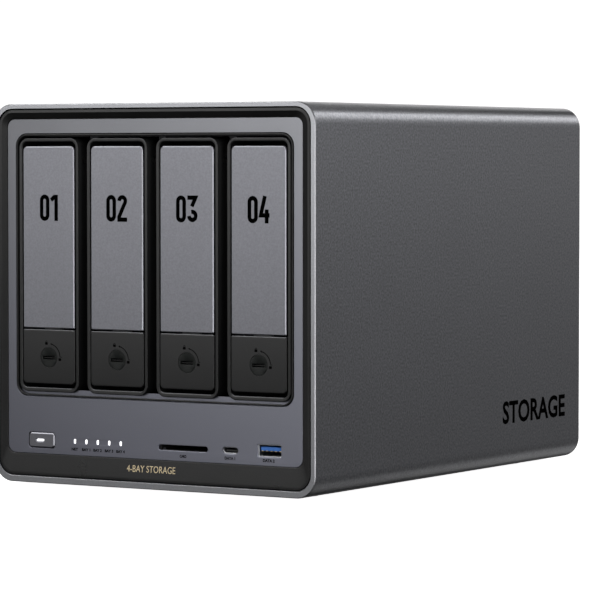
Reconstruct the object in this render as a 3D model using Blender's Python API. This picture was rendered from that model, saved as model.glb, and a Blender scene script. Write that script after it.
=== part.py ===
"""Four-bay desktop network storage enclosure, as separate pieces with real joints.

All sizes below are in millimetres; make() turns them into metres. +X is the right-hand side,
the front faces -Y, +Z is up. The origin is at the middle of the base, level with the feet.
"""

import math

import bmesh
import bpy
from mathutils import Matrix, Vector

MM = 0.001
GAP = 0.3

# Overall size
WIDTH = 176.0
DEPTH = 257.0
SHELL_HEIGHT = 176.0
FOOT_HEIGHT = 2.0

# Outer shell
SHELL_RADIUS = 10.4
SHELL_CHAMFER = 0.4
SHELL_SIDE = 2.3
SHELL_ROOF = 2.1
SHELL_FLOOR = 3.1

# Front: how far each part's face lies behind the shell's front edge
LIP_DEPTH = 0.3
PANEL_DEPTH = 1.35
PANEL_THICKNESS = 1.5
TRAY_DEPTH = 1.25
RIM_DEPTH = 0.95

# Bay opening in the front panel, heights above the shell's underside
BAY_HALF_WIDTH = 76.1
BAY_LOW = 40.3
BAY_HIGH = 162.3
BAY_RADIUS = 6.0
RIM_WALL = 1.1
RIM_BACK = 10.0

# Drive trays
BAYS = 4
BAY_PITCH = 38.35
TRAY_HALF_WIDTH = 16.7
TRAY_LOW = 42.5
TRAY_HIGH = 160.3
TRAY_BACK = 167.0
TRAY_RADIUS = 4.5
TRAY_WALL = 1.6
POCKET_DEPTH = 13.0
POCKET_LOW = 44.5
POCKET_HIGH = 158.9
DRIVE_FRONT = 15.5
DRIVE_LOW = 50.2
DRIVE_HIGH = 152.8
DRIVE_PLATE = 3.0

# Handle plate, lever, latch and lock of a tray
FACE_HALF_WIDTH = 14.6
FACE_CHAMFER = 0.35
PLATE_LOW = 72.25
PLATE_HIGH = 156.6
PLATE_THICKNESS = 1.2
LEVER_THICKNESS = 2.2
HINGE_DEPTH = 7.05
HINGE_HEIGHT = 150.0
TRUNNION_RADIUS = 1.25
LATCH_LOW = 46.25
LATCH_HIGH = 71.4
LATCH_BACK = 6.75
LOCK_HEIGHT = 58.6
LOCK_RADIUS = 4.5

# Drive cage
CAGE_FRONT = 10.4
CAGE_BACK = 177.0
CAGE_WALL = 1.5
BACKPLANE_DEPTH = 178.0
BOARD_THICKNESS = 1.6

# Controls and sockets in the front panel
BUTTON_X = (-69.4, -54.7)
BUTTON_Z = (16.3, 23.4)
LIGHTS = 5
LIGHT_PITCH = 6.41
LIGHT_FIRST_X = -43.05
LIGHT_HEIGHT = 19.8
LIGHT_SIZE = (1.5, 2.5)
CARD_X = (3.65, 30.3)
CARD_Z = (18.3, 20.8)
USB_C_CENTRE = (42.7, 19.6)
USB_A_CENTRE = (63.5, 20.15)
USB_A_OPENING = (12.2, 5.1)

# Service opening in the shell's floor
HATCH_HALF_WIDTH = 55.0
HATCH_DEPTHS = (85.0, 185.0)
HATCH_LEDGE_X = 6.0
HATCH_LEDGE_Y = 8.0
HATCH_RECESS = 1.9

# Rear
REAR_PANEL_DEPTH = 249.3
REAR_PANEL_THICKNESS = 1.2
FAN_SIZE = 140.0
FAN_THICKNESS = 25.0
FAN_CENTRE = 102.0
FAN_BORE = 66.5
FILTER_HALF = 70.5
MAIN_BOARD_TOP = 13.6

COLOURS = {
    "shell_metal": ((0.13, 0.13, 0.14), 0.42, 0.9),
    "panel_metal": ((0.16, 0.16, 0.17), 0.4, 0.85),
    "plate_metal": ((0.21, 0.21, 0.22), 0.38, 0.9),
    "bezel_plastic": ((0.03, 0.03, 0.03), 0.5, 0.0),
    "tray_plastic": ((0.035, 0.035, 0.036), 0.45, 0.0),
    "lock_metal": ((0.04, 0.042, 0.04), 0.4, 0.6),
    "button_metal": ((0.15, 0.15, 0.16), 0.4, 0.85),
    "light_plastic": ((0.9, 0.9, 0.9), 0.4, 0.0),
    "socket_metal": ((0.6, 0.6, 0.6), 0.3, 1.0),
    "socket_plastic": ((0.02, 0.02, 0.02), 0.5, 0.0),
    "blue_plastic": ((0.02, 0.12, 0.4), 0.4, 0.0),
    "cage_steel": ((0.08, 0.08, 0.085), 0.5, 0.8),
    "board_green": ((0.02, 0.07, 0.04), 0.5, 0.0),
    "heat_sink_metal": ((0.5, 0.5, 0.52), 0.4, 1.0),
    "fan_plastic": ((0.025, 0.025, 0.026), 0.5, 0.0),
    "rear_metal": ((0.05, 0.05, 0.052), 0.5, 0.7),
    "filter_mesh": ((0.03, 0.03, 0.03), 0.6, 0.2),
    "screw_steel": ((0.3, 0.3, 0.3), 0.35, 1.0),
    "foot_rubber": ((0.02, 0.02, 0.02), 0.85, 0.0),
}


def deep(distance):
    """Y of a point that lies this far behind the shell's front edge."""
    return distance - DEPTH / 2


def behind(distance):
    """Y of a point that lies this far behind the front panel's face."""
    return deep(PANEL_DEPTH + distance)


def up(height):
    """Z of a point this high above the shell's underside."""
    return height + FOOT_HEIGHT


def bay_centres():
    """X of the middle of each bay, left to right."""
    return [(bay - (BAYS - 1) / 2) * BAY_PITCH for bay in range(BAYS)]


# Outlines: lists of 2-D points, which sections and prisms place in space

def rounded_rect(x0, x1, z0, z1, radius, steps=4, bottom_radius=None):
    """Rounded rectangle; the two lower corners may have a radius of their own."""
    low = radius if bottom_radius is None else bottom_radius
    corners = ((x1, z1, radius, 0), (x0, z1, radius, 90), (x0, z0, low, 180), (x1, z0, low, 270))
    points = []
    for x, z, r, start in corners:
        centre_x = x - math.copysign(r, x - (x0 + x1) / 2)
        centre_z = z - math.copysign(r, z - (z0 + z1) / 2)
        for step in range(steps + 1):
            angle = math.radians(start + 90 * step / steps)
            points.append((centre_x + r * math.cos(angle), centre_z + r * math.sin(angle)))
    return points


def rectangle(x0, x1, z0, z1):
    return [(x1, z1), (x0, z1), (x0, z0), (x1, z0)]


def circle(x, z, radius, sides):
    turn = 2 * math.pi / sides
    return [(x + radius * math.cos(turn * i), z + radius * math.sin(turn * i)) for i in range(sides)]


def sector(x, z, inner, outer, start, end, steps):
    """Part of a ring between two angles in degrees."""
    angles = [math.radians(start + (end - start) * i / steps) for i in range(steps + 1)]
    far = [(x + outer * math.cos(a), z + outer * math.sin(a)) for a in angles]
    near = [(x + inner * math.cos(a), z + inner * math.sin(a)) for a in reversed(angles)]
    return far + near


# Solids

def add_loft(bm, sections, ring=False):
    """Skin a row of equal sections. A ring joins the last to the first, else the ends are capped."""
    loops = [[bm.verts.new(point) for point in section] for section in sections]
    pairs = list(zip(loops, loops[1:]))
    if ring:
        pairs.append((loops[-1], loops[0]))
    for first, second in pairs:
        for i in range(len(first)):
            j = (i + 1) % len(first)
            bm.faces.new((first[i], first[j], second[j], second[i]))
    if not ring:
        bm.faces.new(loops[0])
        bm.faces.new(loops[-1])


def section(axis, outline, level):
    """Place a 2-D outline across an axis: (y, z) for x, (x, z) for y, (x, y) for z."""
    if axis == "x":
        return [(level, a, b) for a, b in outline]
    if axis == "y":
        return [(a, level, b) for a, b in outline]
    return [(a, b, level) for a, b in outline]


def add_prism(bm, axis, outline, low, high):
    add_loft(bm, [section(axis, outline, low), section(axis, outline, high)])


def add_box(bm, x, y, z):
    add_prism(bm, "y", rectangle(x[0], x[1], z[0], z[1]), y[0], y[1])


def material(slot):
    """The shared Principled material of a slot."""
    if slot in bpy.data.materials:
        return bpy.data.materials[slot]
    colour, roughness, metallic = COLOURS[slot]
    made = bpy.data.materials.new(slot)
    made.use_nodes = True
    shader = made.node_tree.nodes["Principled BSDF"]
    shader.inputs["Base Color"].default_value = (*colour, 1.0)
    shader.inputs["Roughness"].default_value = roughness
    shader.inputs["Metallic"].default_value = metallic
    return made


def mesh_from(bm, name, origin):
    """Close a bmesh into a mesh in metres, about its origin in millimetres."""
    bmesh.ops.recalc_face_normals(bm, faces=bm.faces)
    bm.transform(Matrix.Scale(MM, 4) @ Matrix.Translation(-Vector(origin)))
    mesh = bpy.data.meshes.new(name)
    bm.to_mesh(mesh)
    bm.free()
    mesh.shade_smooth()
    mesh.set_sharp_from_angle(angle=math.radians(30))
    return mesh


def body(name, origin=(0, 0, 0), parent=None):
    """An empty on a joint's axis that a moving group hangs on."""
    empty = bpy.data.objects.new(name, None)
    bpy.context.scene.collection.objects.link(empty)
    parent_origin = Vector(parent["origin_mm"]) if parent else Vector((0, 0, 0))
    empty.parent = parent
    empty.location = (Vector(origin) - parent_origin) * MM
    empty["origin_mm"] = list(origin)
    return empty


def make(name, bm, slot, group):
    """A sub-part from a bmesh, in its group and with its group's origin."""
    made = bpy.data.objects.new(name, mesh_from(bm, name, group["origin_mm"]))
    made.data.materials.append(material(slot))
    bpy.context.scene.collection.objects.link(made)
    made.parent = group
    return made


def combine(target, bm, operation="DIFFERENCE"):
    """Cut a hidden tool out of a sub-part, or add it with operation UNION."""
    name = f"tool_{target.name}_{len(target.modifiers)}"
    tool = bpy.data.objects.new(name, mesh_from(bm, name, (0, 0, 0)))
    bpy.context.scene.collection.objects.link(tool)
    tool.hide_render = True
    tool.display_type = "WIRE"
    step = target.modifiers.new(name, "BOOLEAN")
    step.operation = operation
    step.solver = "EXACT"
    step.object = tool


# Outer shell, its feet and its service hatch

def shell_outline(inset):
    half = WIDTH / 2 - inset
    return rounded_rect(-half, half, up(inset), up(SHELL_HEIGHT - inset), SHELL_RADIUS - inset, 6)


def inner_outline(side, top, bottom, radius, steps=6):
    """Outline inside the shell, inset from its inner walls."""
    half = WIDTH / 2 - SHELL_SIDE - side
    low = up(SHELL_FLOOR + bottom)
    high = up(SHELL_HEIGHT - SHELL_ROOF - top)
    return rounded_rect(-half, half, low, high, radius, steps)


def hatch_screws():
    """Centres of the two hatch screws, on the front and rear ledges."""
    return [(0, deep(HATCH_DEPTHS[0] + HATCH_LEDGE_Y / 2)), (0, deep(HATCH_DEPTHS[1] - HATCH_LEDGE_Y / 2))]


def build_shell(chassis):
    bm = bmesh.new()
    inside = inner_outline(0, 0, 0, SHELL_RADIUS - SHELL_SIDE)
    levels = (
        (shell_outline(SHELL_CHAMFER), 0),
        (shell_outline(0), SHELL_CHAMFER),
        (shell_outline(0), DEPTH - SHELL_CHAMFER),
        (shell_outline(SHELL_CHAMFER), DEPTH),
        (inside, DEPTH),
        (inside, 0),
    )
    add_loft(bm, [section("y", outline, deep(level)) for outline, level in levels], ring=True)
    shell = make("outer_shell", bm, "shell_metal", chassis)

    recess = bmesh.new()
    front, back = (deep(depth) for depth in HATCH_DEPTHS)
    wide = (-HATCH_HALF_WIDTH, HATCH_HALF_WIDTH)
    add_box(recess, wide, (front, back), (up(-1), up(HATCH_RECESS)))
    combine(shell, recess)
    through = bmesh.new()
    narrow = (-HATCH_HALF_WIDTH + HATCH_LEDGE_X, HATCH_HALF_WIDTH - HATCH_LEDGE_X)
    add_box(through, narrow, (front + HATCH_LEDGE_Y, back - HATCH_LEDGE_Y), (up(-1), up(5)))
    for x, y in hatch_screws():
        add_prism(through, "z", circle(x, y, 1.6, 12), up(-1), up(5))
    combine(shell, through)


def build_hatch(chassis):
    """Bottom cover and its two screws."""
    bm = bmesh.new()
    half = HATCH_HALF_WIDTH - GAP
    y = (deep(HATCH_DEPTHS[0] + GAP), deep(HATCH_DEPTHS[1] - GAP))
    add_box(bm, (-half, half), y, (up(0), up(HATCH_RECESS - GAP)))
    cover = make("bottom_cover", bm, "shell_metal", chassis)
    holes = bmesh.new()
    sinks = bmesh.new()
    for x, centre in hatch_screws():
        add_prism(holes, "z", circle(x, centre, 1.6, 12), up(-1), up(3))
        add_prism(sinks, "z", circle(x, centre, 3.1, 12), up(-1), up(0.9))
    combine(cover, holes)
    combine(cover, sinks)
    for index, (x, centre) in enumerate(hatch_screws(), start=1):
        screw = bmesh.new()
        profile = ((2.8, 0.1), (2.8, 0.65), (1.3, 0.65), (1.3, 3.4))
        add_loft(screw, [section("z", circle(x, centre, radius, 12), up(z)) for radius, z in profile])
        make(f"bottom_cover_screw_{index}", screw, "screw_steel", chassis)


def build_feet(chassis):
    """Four rubber feet, set well in from the edges."""
    places = [(x, deep(depth)) for depth in (32, DEPTH - 32) for x in (-62, 62)]
    for index, (x, y) in enumerate(places, start=1):
        bm = bmesh.new()
        profile = ((7.2, 0), (8.0, 0.6), (8.0, FOOT_HEIGHT - GAP))
        add_loft(bm, [section("z", circle(x, y, radius, 20), z) for radius, z in profile])
        make(f"foot_{index}", bm, "foot_rubber", chassis)


# Front: bezel, panel, bay rim, controls and sockets

def build_bezel(chassis):
    """Black frame: a flat lip, a slope down to the panel, a ledge behind it and a skirt."""
    bm = bmesh.new()
    ledge = PANEL_DEPTH + PANEL_THICKNESS + GAP
    profile = (
        (GAP, GAP, GAP, 7.8, LIP_DEPTH),
        (1.9, 1.9, 1.6, 6.4, LIP_DEPTH),
        (4.7, 4.7, 10.4, 4.3, PANEL_DEPTH - 0.35),
        (4.7, 4.7, 10.4, 4.3, ledge),
        (5.7, 5.7, 11.4, 3.5, ledge),
        (5.7, 5.7, 11.4, 3.5, ledge + 1.2),
        (2.6, 2.6, 7.6, 5.0, ledge + 1.2),
        (2.6, 2.6, 7.6, 5.0, 9.7),
        (GAP, GAP, GAP, 7.8, 9.7),
    )
    sections = []
    for side, top, bottom, radius, depth in profile:
        sections.append(section("y", inner_outline(side, top, bottom, radius), deep(depth)))
    add_loft(bm, sections, ring=True)
    make("front_bezel", bm, "bezel_plastic", chassis)


def light_centres():
    return [LIGHT_FIRST_X + LIGHT_PITCH * index for index in range(LIGHTS)]


def centred(centre, size, grow=0.0):
    """Bounds (x0, x1, z0, z1) of a rectangle about a centre, at the front."""
    half_x, half_z = size[0] / 2 + grow, size[1] / 2 + grow
    return (centre[0] - half_x, centre[0] + half_x, up(centre[1] - half_z), up(centre[1] + half_z))


def build_panel(chassis):
    """Front sheet with the bay opening and the holes for the controls and sockets."""
    bm = bmesh.new()
    outline = inner_outline(4.7 + GAP, 4.7 + GAP, 10.4 + GAP, 4.0, 4)
    add_prism(bm, "y", outline, deep(PANEL_DEPTH), deep(PANEL_DEPTH + PANEL_THICKNESS))
    panel = make("front_panel", bm, "panel_metal", chassis)

    bay = rounded_rect(-BAY_HALF_WIDTH, BAY_HALF_WIDTH, up(BAY_LOW), up(BAY_HIGH), BAY_RADIUS)
    button = rounded_rect(
        BUTTON_X[0] - GAP, BUTTON_X[1] + GAP, up(BUTTON_Z[0] - GAP), up(BUTTON_Z[1] + GAP), 1.8, 3
    )
    card = rounded_rect(CARD_X[0], CARD_X[1], up(CARD_Z[0]), up(CARD_Z[1]), 1.2, 3)
    usb_c = rounded_rect(*centred(USB_C_CENTRE, (8.8, 3.1), 0.15), 1.6, 3)
    usb_a = rounded_rect(*centred(USB_A_CENTRE, USB_A_OPENING, 0.6), 0.5, 2)
    outlines = [bay, button, card, usb_c, usb_a]
    for x in light_centres():
        outlines.append(rounded_rect(*centred((x, LIGHT_HEIGHT), LIGHT_SIZE, 0.15), 0.4, 2))
    holes = bmesh.new()
    for outline in outlines:
        add_prism(holes, "y", outline, behind(-2), behind(5))
    combine(panel, holes)


def build_bay_rim(chassis):
    """Thin liner standing a little proud of the panel, round all four trays."""
    bm = bmesh.new()

    def outline(inset, radius):
        half = BAY_HALF_WIDTH - inset
        return rounded_rect(-half, half, up(BAY_LOW + inset), up(BAY_HIGH - inset), radius)

    outer = outline(GAP, BAY_RADIUS - GAP)
    inner = outline(GAP + RIM_WALL, TRAY_RADIUS + 0.3)
    front, back = deep(RIM_DEPTH), deep(RIM_BACK)
    levels = ((outer, front), (outer, back), (inner, back), (inner, front))
    add_loft(bm, [section("y", shape, y) for shape, y in levels], ring=True)
    make("bay_rim", bm, "tray_plastic", chassis)


def build_power_button(chassis):
    """Button with a flange behind the panel, and the light bar set in its face."""
    x0, x1 = BUTTON_X
    centre = ((x0 + x1) / 2, sum(BUTTON_Z) / 2)
    button_body = body("power_button_body", (centre[0], deep(PANEL_DEPTH), up(centre[1])), chassis)
    face = (x1 - x0, BUTTON_Z[1] - BUTTON_Z[0])

    bm = bmesh.new()
    levels = (
        (centred(centre, face, -0.3), 1.2, -0.3),
        (centred(centre, face), 1.5, 0.0),
        (centred(centre, face), 1.5, 1.8),
        (centred(centre, face, 0.9), 1.8, 1.8),
        (centred(centre, face, 0.9), 1.8, 3.2),
    )
    sections = [section("y", rounded_rect(*bounds, r, 3), behind(depth)) for bounds, r, depth in levels]
    add_loft(bm, sections)
    button = make("power_button", bm, "button_metal", button_body)

    slot = bmesh.new()
    x0, x1, z0, z1 = centred(centre, (4.7, 1.25), 0.15)
    add_box(slot, (x0, x1), (behind(-2), behind(1.9)), (z0, z1))
    combine(button, slot)

    light = bmesh.new()
    x0, x1, z0, z1 = centred(centre, (4.7, 1.25))
    add_box(light, (x0, x1), (behind(0.3), behind(1.6)), (z0, z1))
    make("power_light", light, "light_plastic", button_body)


def build_status_lights(chassis):
    """One clear moulding: a bar behind the panel with a prong into each window."""
    bm = bmesh.new()
    centres = light_centres()
    add_box(bm, (centres[0] - 2, centres[-1] + 2), (behind(2.5), behind(5.5)), (up(18), up(21.6)))
    guide = make("status_light_guide", bm, "light_plastic", chassis)
    prongs = bmesh.new()
    for x in centres:
        x0, x1, z0, z1 = centred((x, LIGHT_HEIGHT), LIGHT_SIZE)
        add_box(prongs, (x0, x1), (behind(0.2), behind(3.5)), (z0, z1))
    combine(guide, prongs, "UNION")


def build_card_reader(chassis):
    bm = bmesh.new()
    add_box(bm, (CARD_X[0] - 2, CARD_X[1] + 2), (behind(1.8), behind(29)), (up(14.9), up(23.5)))
    reader = make("card_reader", bm, "socket_plastic", chassis)
    slot = bmesh.new()
    add_box(slot, (CARD_X[0] + 0.3, CARD_X[1] - 0.3), (behind(1), behind(26)), (up(18.45), up(20.65)))
    combine(reader, slot)


def build_usb_c(chassis):
    """Metal shell with its opening in front and the tongue inside."""
    bm = bmesh.new()
    outer = rounded_rect(*centred(USB_C_CENTRE, (8.8, 3.1)), 1.5, 3)
    add_prism(bm, "y", outer, behind(0.1), behind(10))
    port = make("usb_c_port", bm, "socket_metal", chassis)
    hollow = bmesh.new()
    inner = rounded_rect(*centred(USB_C_CENTRE, (8.2, 2.5)), 1.2, 3)
    add_prism(hollow, "y", inner, behind(-1), behind(9))
    combine(port, hollow)
    tongue = bmesh.new()
    x0, x1, z0, z1 = centred(USB_C_CENTRE, (6.6, 0.7))
    add_box(tongue, (x0, x1), (behind(1.4), behind(9.5)), (z0, z1))
    combine(port, tongue, "UNION")


def build_usb_a(chassis):
    """Metal sleeve, and the blue insulator with its tongue near the top of the opening."""
    bm = bmesh.new()
    sleeve = [centred(USB_A_CENTRE, USB_A_OPENING, 0.4), centred(USB_A_CENTRE, USB_A_OPENING)]
    outer, inner = (rectangle(*bounds) for bounds in sleeve)
    front, back = behind(0.1), behind(15)
    levels = ((outer, front), (outer, back), (inner, back), (inner, front))
    add_loft(bm, [section("y", outline, y) for outline, y in levels], ring=True)
    make("usb_a_port", bm, "socket_metal", chassis)

    insulator = bmesh.new()
    x0, x1, z0, z1 = centred(USB_A_CENTRE, USB_A_OPENING, -0.2)
    top, bottom = z1 - 0.5, z1 - 2.2
    back, step, front = behind(14.5), behind(12.5), behind(1.2)
    profile = [(back, z1), (step, z1), (step, top), (front, top)]
    profile += [(front, bottom), (step, bottom), (step, z0), (back, z0)]
    add_prism(insulator, "x", profile, x0, x1)
    make("usb_a_tongue", insulator, "blue_plastic", chassis)


def build_front_board(chassis):
    bm = bmesh.new()
    top = 14.6
    add_box(bm, (-76, 76), (deep(10.4), deep(50)), (up(top - BOARD_THICKNESS), up(top)))
    make("front_io_board", bm, "board_green", chassis)


# Drive trays

def tray_outline(centre, inset):
    return rounded_rect(
        centre - TRAY_HALF_WIDTH + inset,
        centre + TRAY_HALF_WIDTH - inset,
        up(TRAY_LOW + inset),
        up(TRAY_HIGH - inset),
        TRAY_RADIUS - inset,
        3,
    )


def build_tray_frame(index, centre, tray):
    """Carrier: a front rim round the handle pocket, then a trough open on the right for the drive."""
    bm = bmesh.new()
    bead = 0.6
    levels = ((bead, TRAY_DEPTH), (0, TRAY_DEPTH + bead), (0, TRAY_BACK))
    add_loft(bm, [section("y", tray_outline(centre, inset), deep(depth)) for inset, depth in levels])
    frame = make(f"tray_{index}_frame", bm, "tray_plastic", tray)

    pocket = bmesh.new()
    half = TRAY_HALF_WIDTH - TRAY_WALL
    shape = rounded_rect(centre - half, centre + half, up(POCKET_LOW), up(POCKET_HIGH), 2.6, 3)
    add_prism(pocket, "y", shape, deep(-1), deep(POCKET_DEPTH))
    combine(frame, pocket)

    trough = bmesh.new()
    plate = centre - TRAY_HALF_WIDTH + DRIVE_PLATE
    heights = (up(DRIVE_LOW), up(DRIVE_HIGH))
    add_box(trough, (plate, centre + 20), (deep(DRIVE_FRONT), deep(TRAY_BACK + 5)), heights)
    combine(frame, trough)

    openings = bmesh.new()
    for low in (62, 92, 122):
        add_box(openings, (centre - 20, plate + 1), (deep(35), deep(150)), (up(low), up(low + 18)))
    for side in (-1, 1):
        x = centre + side * 7.0
        vent = (deep(POCKET_DEPTH - 1), deep(DRIVE_FRONT + 1))
        add_box(openings, (x - 4.5, x + 4.5), vent, (up(84), up(140)))
    hole = circle(deep(HINGE_DEPTH), up(HINGE_HEIGHT), TRUNNION_RADIUS + 0.22, 12)
    add_prism(openings, "x", hole, centre - 20, centre - half + 0.5)
    add_prism(openings, "x", hole, centre + half - 0.5, centre + 20)
    combine(frame, openings)


def face_outline(centre, low, high, inset, top_radius, bottom_radius):
    half = FACE_HALF_WIDTH - inset
    return rounded_rect(
        centre - half, centre + half, up(low), up(high - inset), top_radius, 3, bottom_radius
    )


def build_handle(index, centre, tray):
    """Numbered aluminium plate on a lever that swings out from a hinge near its top."""
    handle = body(f"handle_{index}", (centre, deep(HINGE_DEPTH), up(HINGE_HEIGHT)), tray)
    bm = bmesh.new()
    edge = FACE_CHAMFER
    back = TRAY_DEPTH + PLATE_THICKNESS
    sections = []
    for inset, depth in ((edge, TRAY_DEPTH), (0, TRAY_DEPTH + edge), (0, back)):
        outline = face_outline(centre, PLATE_LOW + inset, PLATE_HIGH, inset, 2.0 - inset, 0.5)
        sections.append(section("y", outline, deep(depth)))
    add_loft(bm, sections)
    make(f"tray_{index}_plate", bm, "plate_metal", handle)

    lever = bmesh.new()
    depths = (deep(back + GAP), deep(back + GAP + LEVER_THICKNESS))
    add_box(lever, (centre - 14, centre + 14), depths, (up(73), up(155.6)))
    made = make(f"tray_{index}_lever", lever, "tray_plastic", handle)
    lug = bmesh.new()
    depths = (deep(back + GAP + 1), deep(HINGE_DEPTH + 1.8))
    heights = (up(HINGE_HEIGHT - 2.4), up(HINGE_HEIGHT + 2.4))
    add_box(lug, (centre - 13.5, centre + 13.5), depths, heights)
    combine(made, lug, "UNION")
    pin = bmesh.new()
    reach = TRAY_HALF_WIDTH - 0.3
    shape = circle(deep(HINGE_DEPTH), up(HINGE_HEIGHT), TRUNNION_RADIUS, 12)
    add_prism(pin, "x", shape, centre - reach, centre + reach)
    combine(made, pin, "UNION")


def build_latch(index, centre, tray):
    """Press latch below the plate, with its catch reaching up behind the lever, and the key lock."""
    latch = body(f"latch_{index}", (centre, deep(TRAY_DEPTH), up(LOCK_HEIGHT)), tray)
    bm = bmesh.new()
    edge = FACE_CHAMFER
    sections = []
    levels = ((edge, TRAY_DEPTH, edge), (0, TRAY_DEPTH + edge, 0), (0, LATCH_BACK, 2.0))
    for inset, depth, rise in levels:
        outline = face_outline(centre, LATCH_LOW + rise, LATCH_HIGH, inset, 0.6, 2.0 - inset)
        sections.append(section("y", outline, deep(depth)))
    add_loft(bm, sections)
    made = make(f"tray_{index}_latch", bm, "tray_plastic", latch)
    catch = bmesh.new()
    depths = (deep(LATCH_BACK - 1.5), deep(LATCH_BACK + 0.4))
    add_box(catch, (centre - 4.7, centre + 4.7), depths, (up(LATCH_HIGH - 4), up(74)))
    combine(made, catch, "UNION")
    hole = bmesh.new()
    add_prism(hole, "y", circle(centre, up(LOCK_HEIGHT), LOCK_RADIUS + 0.35, 20), deep(-1), deep(12))
    combine(made, hole)

    lock_body = body(f"lock_{index}", (centre, deep(TRAY_DEPTH), up(LOCK_HEIGHT)), latch)
    cylinder = bmesh.new()
    profile = ((LOCK_RADIUS - 0.3, -0.3), (LOCK_RADIUS, 0.0), (LOCK_RADIUS, 6.3))
    sections = []
    for radius, depth in profile:
        outline = circle(centre, up(LOCK_HEIGHT), radius, 20)
        sections.append(section("y", outline, deep(TRAY_DEPTH + depth)))
    add_loft(cylinder, sections)
    lock = make(f"tray_{index}_lock", cylinder, "lock_metal", lock_body)
    key_slot = bmesh.new()
    x0, x1, z0, z1 = centred((centre, LOCK_HEIGHT), (6.4, 1.6))
    add_box(key_slot, (x0, x1), (deep(TRAY_DEPTH - 2), deep(TRAY_DEPTH + 3.6)), (z0, z1))
    combine(lock, key_slot)


def build_trays(chassis):
    for index, centre in enumerate(bay_centres(), start=1):
        tray = body(f"tray_{index}", (centre, deep(TRAY_DEPTH), up(TRAY_LOW)), chassis)
        build_tray_frame(index, centre, tray)
        build_handle(index, centre, tray)
        build_latch(index, centre, tray)


# Inside: cage, boards, heat sink and modules

def build_cage(chassis):
    """Steel cage with one through bay for each tray and windows through all its upright walls."""
    bm = bmesh.new()
    half = bay_centres()[-1] + TRAY_HALF_WIDTH + GAP + CAGE_WALL
    low, high = TRAY_LOW - GAP, TRAY_HIGH + GAP
    heights = (up(low - CAGE_WALL), up(high + CAGE_WALL))
    add_box(bm, (-half, half), (deep(CAGE_FRONT), deep(CAGE_BACK)), heights)
    cage = make("drive_cage", bm, "cage_steel", chassis)
    bays = bmesh.new()
    for centre in bay_centres():
        side = TRAY_HALF_WIDTH + GAP
        depths = (deep(CAGE_FRONT - 2), deep(CAGE_BACK + 2))
        add_box(bays, (centre - side, centre + side), depths, (up(low), up(high)))
    combine(cage, bays)
    windows = bmesh.new()
    for window in (62, 92, 122):
        add_box(windows, (-half - 2, half + 2), (deep(35), deep(150)), (up(window), up(window + 18)))
    combine(cage, windows)


def build_backplane(chassis):
    """Upright board behind the bays with air slots, and one drive connector per bay."""
    bm = bmesh.new()
    depths = (deep(BACKPLANE_DEPTH), deep(BACKPLANE_DEPTH + BOARD_THICKNESS))
    add_box(bm, (-76, 76), depths, (up(44), up(159)))
    board = make("backplane_board", bm, "board_green", chassis)
    slots = bmesh.new()
    for gap_centre in [centre + BAY_PITCH / 2 for centre in bay_centres()[:-1]]:
        x = (gap_centre - 8, gap_centre + 8)
        add_box(slots, x, (deep(BACKPLANE_DEPTH - 2), deep(BACKPLANE_DEPTH + 4)), (up(56), up(147)))
    combine(board, slots)

    for index, centre in enumerate(bay_centres(), start=1):
        connector = bmesh.new()
        depths = (deep(TRAY_BACK + 1), deep(BACKPLANE_DEPTH - GAP))
        add_box(connector, (centre - 3.5, centre + 3.5), depths, (up(62), up(106)))
        made = make(f"drive_connector_{index}", connector, "socket_plastic", chassis)
        groove = bmesh.new()
        depths = (deep(TRAY_BACK), deep(TRAY_BACK + 7))
        add_box(groove, (centre - 1.6, centre + 1.2), depths, (up(64), up(104)))
        combine(made, groove)


def build_main_board(chassis):
    """Board under the cage, with its heat sink above and its modules below."""
    bm = bmesh.new()
    heights = (up(MAIN_BOARD_TOP - BOARD_THICKNESS), up(MAIN_BOARD_TOP))
    add_box(bm, (-78, 78), (deep(54), deep(REAR_PANEL_DEPTH - 1)), heights)
    make("main_board", bm, "board_green", chassis)

    fins, pitch, fin = 10, 6.0, 1.4
    base, foot, top = up(MAIN_BOARD_TOP + 0.6), up(MAIN_BOARD_TOP + 3.6), up(MAIN_BOARD_TOP + 24)
    half = ((fins - 1) * pitch + fin) / 2
    comb = [(-half, base)]
    for index in range(fins):
        x = -half + index * pitch
        comb += [(x, foot)] if index else []
        comb += [(x, top), (x + fin, top)]
        comb += [(x + fin, foot)] if index < fins - 1 else []
    comb += [(half, base)]
    sink = bmesh.new()
    add_prism(sink, "y", comb, deep(120), deep(176))
    make("heat_sink", sink, "heat_sink_metal", chassis)

    below = up(MAIN_BOARD_TOP - BOARD_THICKNESS - 0.5)
    memory = bmesh.new()
    add_box(memory, (-34, 34), (deep(100), deep(130)), (below - 3.8, below))
    make("memory_module", memory, "board_green", chassis)
    ssd = bmesh.new()
    add_box(ssd, (-40, 40), (deep(142), deep(164)), (below - 3.2, below))
    make("ssd_module", ssd, "board_green", chassis)


# Rear: panel, fan, dust filter and sockets

REAR_SOCKETS = {
    "power_inlet": (58.0, 14.0, 11.0),
    "video_port": (36.0, 15.0, 6.0),
    "rear_usb_port": (14.0, 13.2, 15.2),
    "lan_port_1": (-10.0, 16.0, 13.6),
    "lan_port_2": (-33.0, 16.0, 13.6),
}
SOCKET_FLOOR = MAIN_BOARD_TOP + 0.5
SOCKET_BACK = REAR_PANEL_DEPTH + REAR_PANEL_THICKNESS + 0.4


def socket_bounds(name, grow=0.0):
    """Bounds of a rear socket's face: it stands on the main board."""
    x, width, height = REAR_SOCKETS[name]
    return centred((x, SOCKET_FLOOR + height / 2), (width, height), grow)


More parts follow.
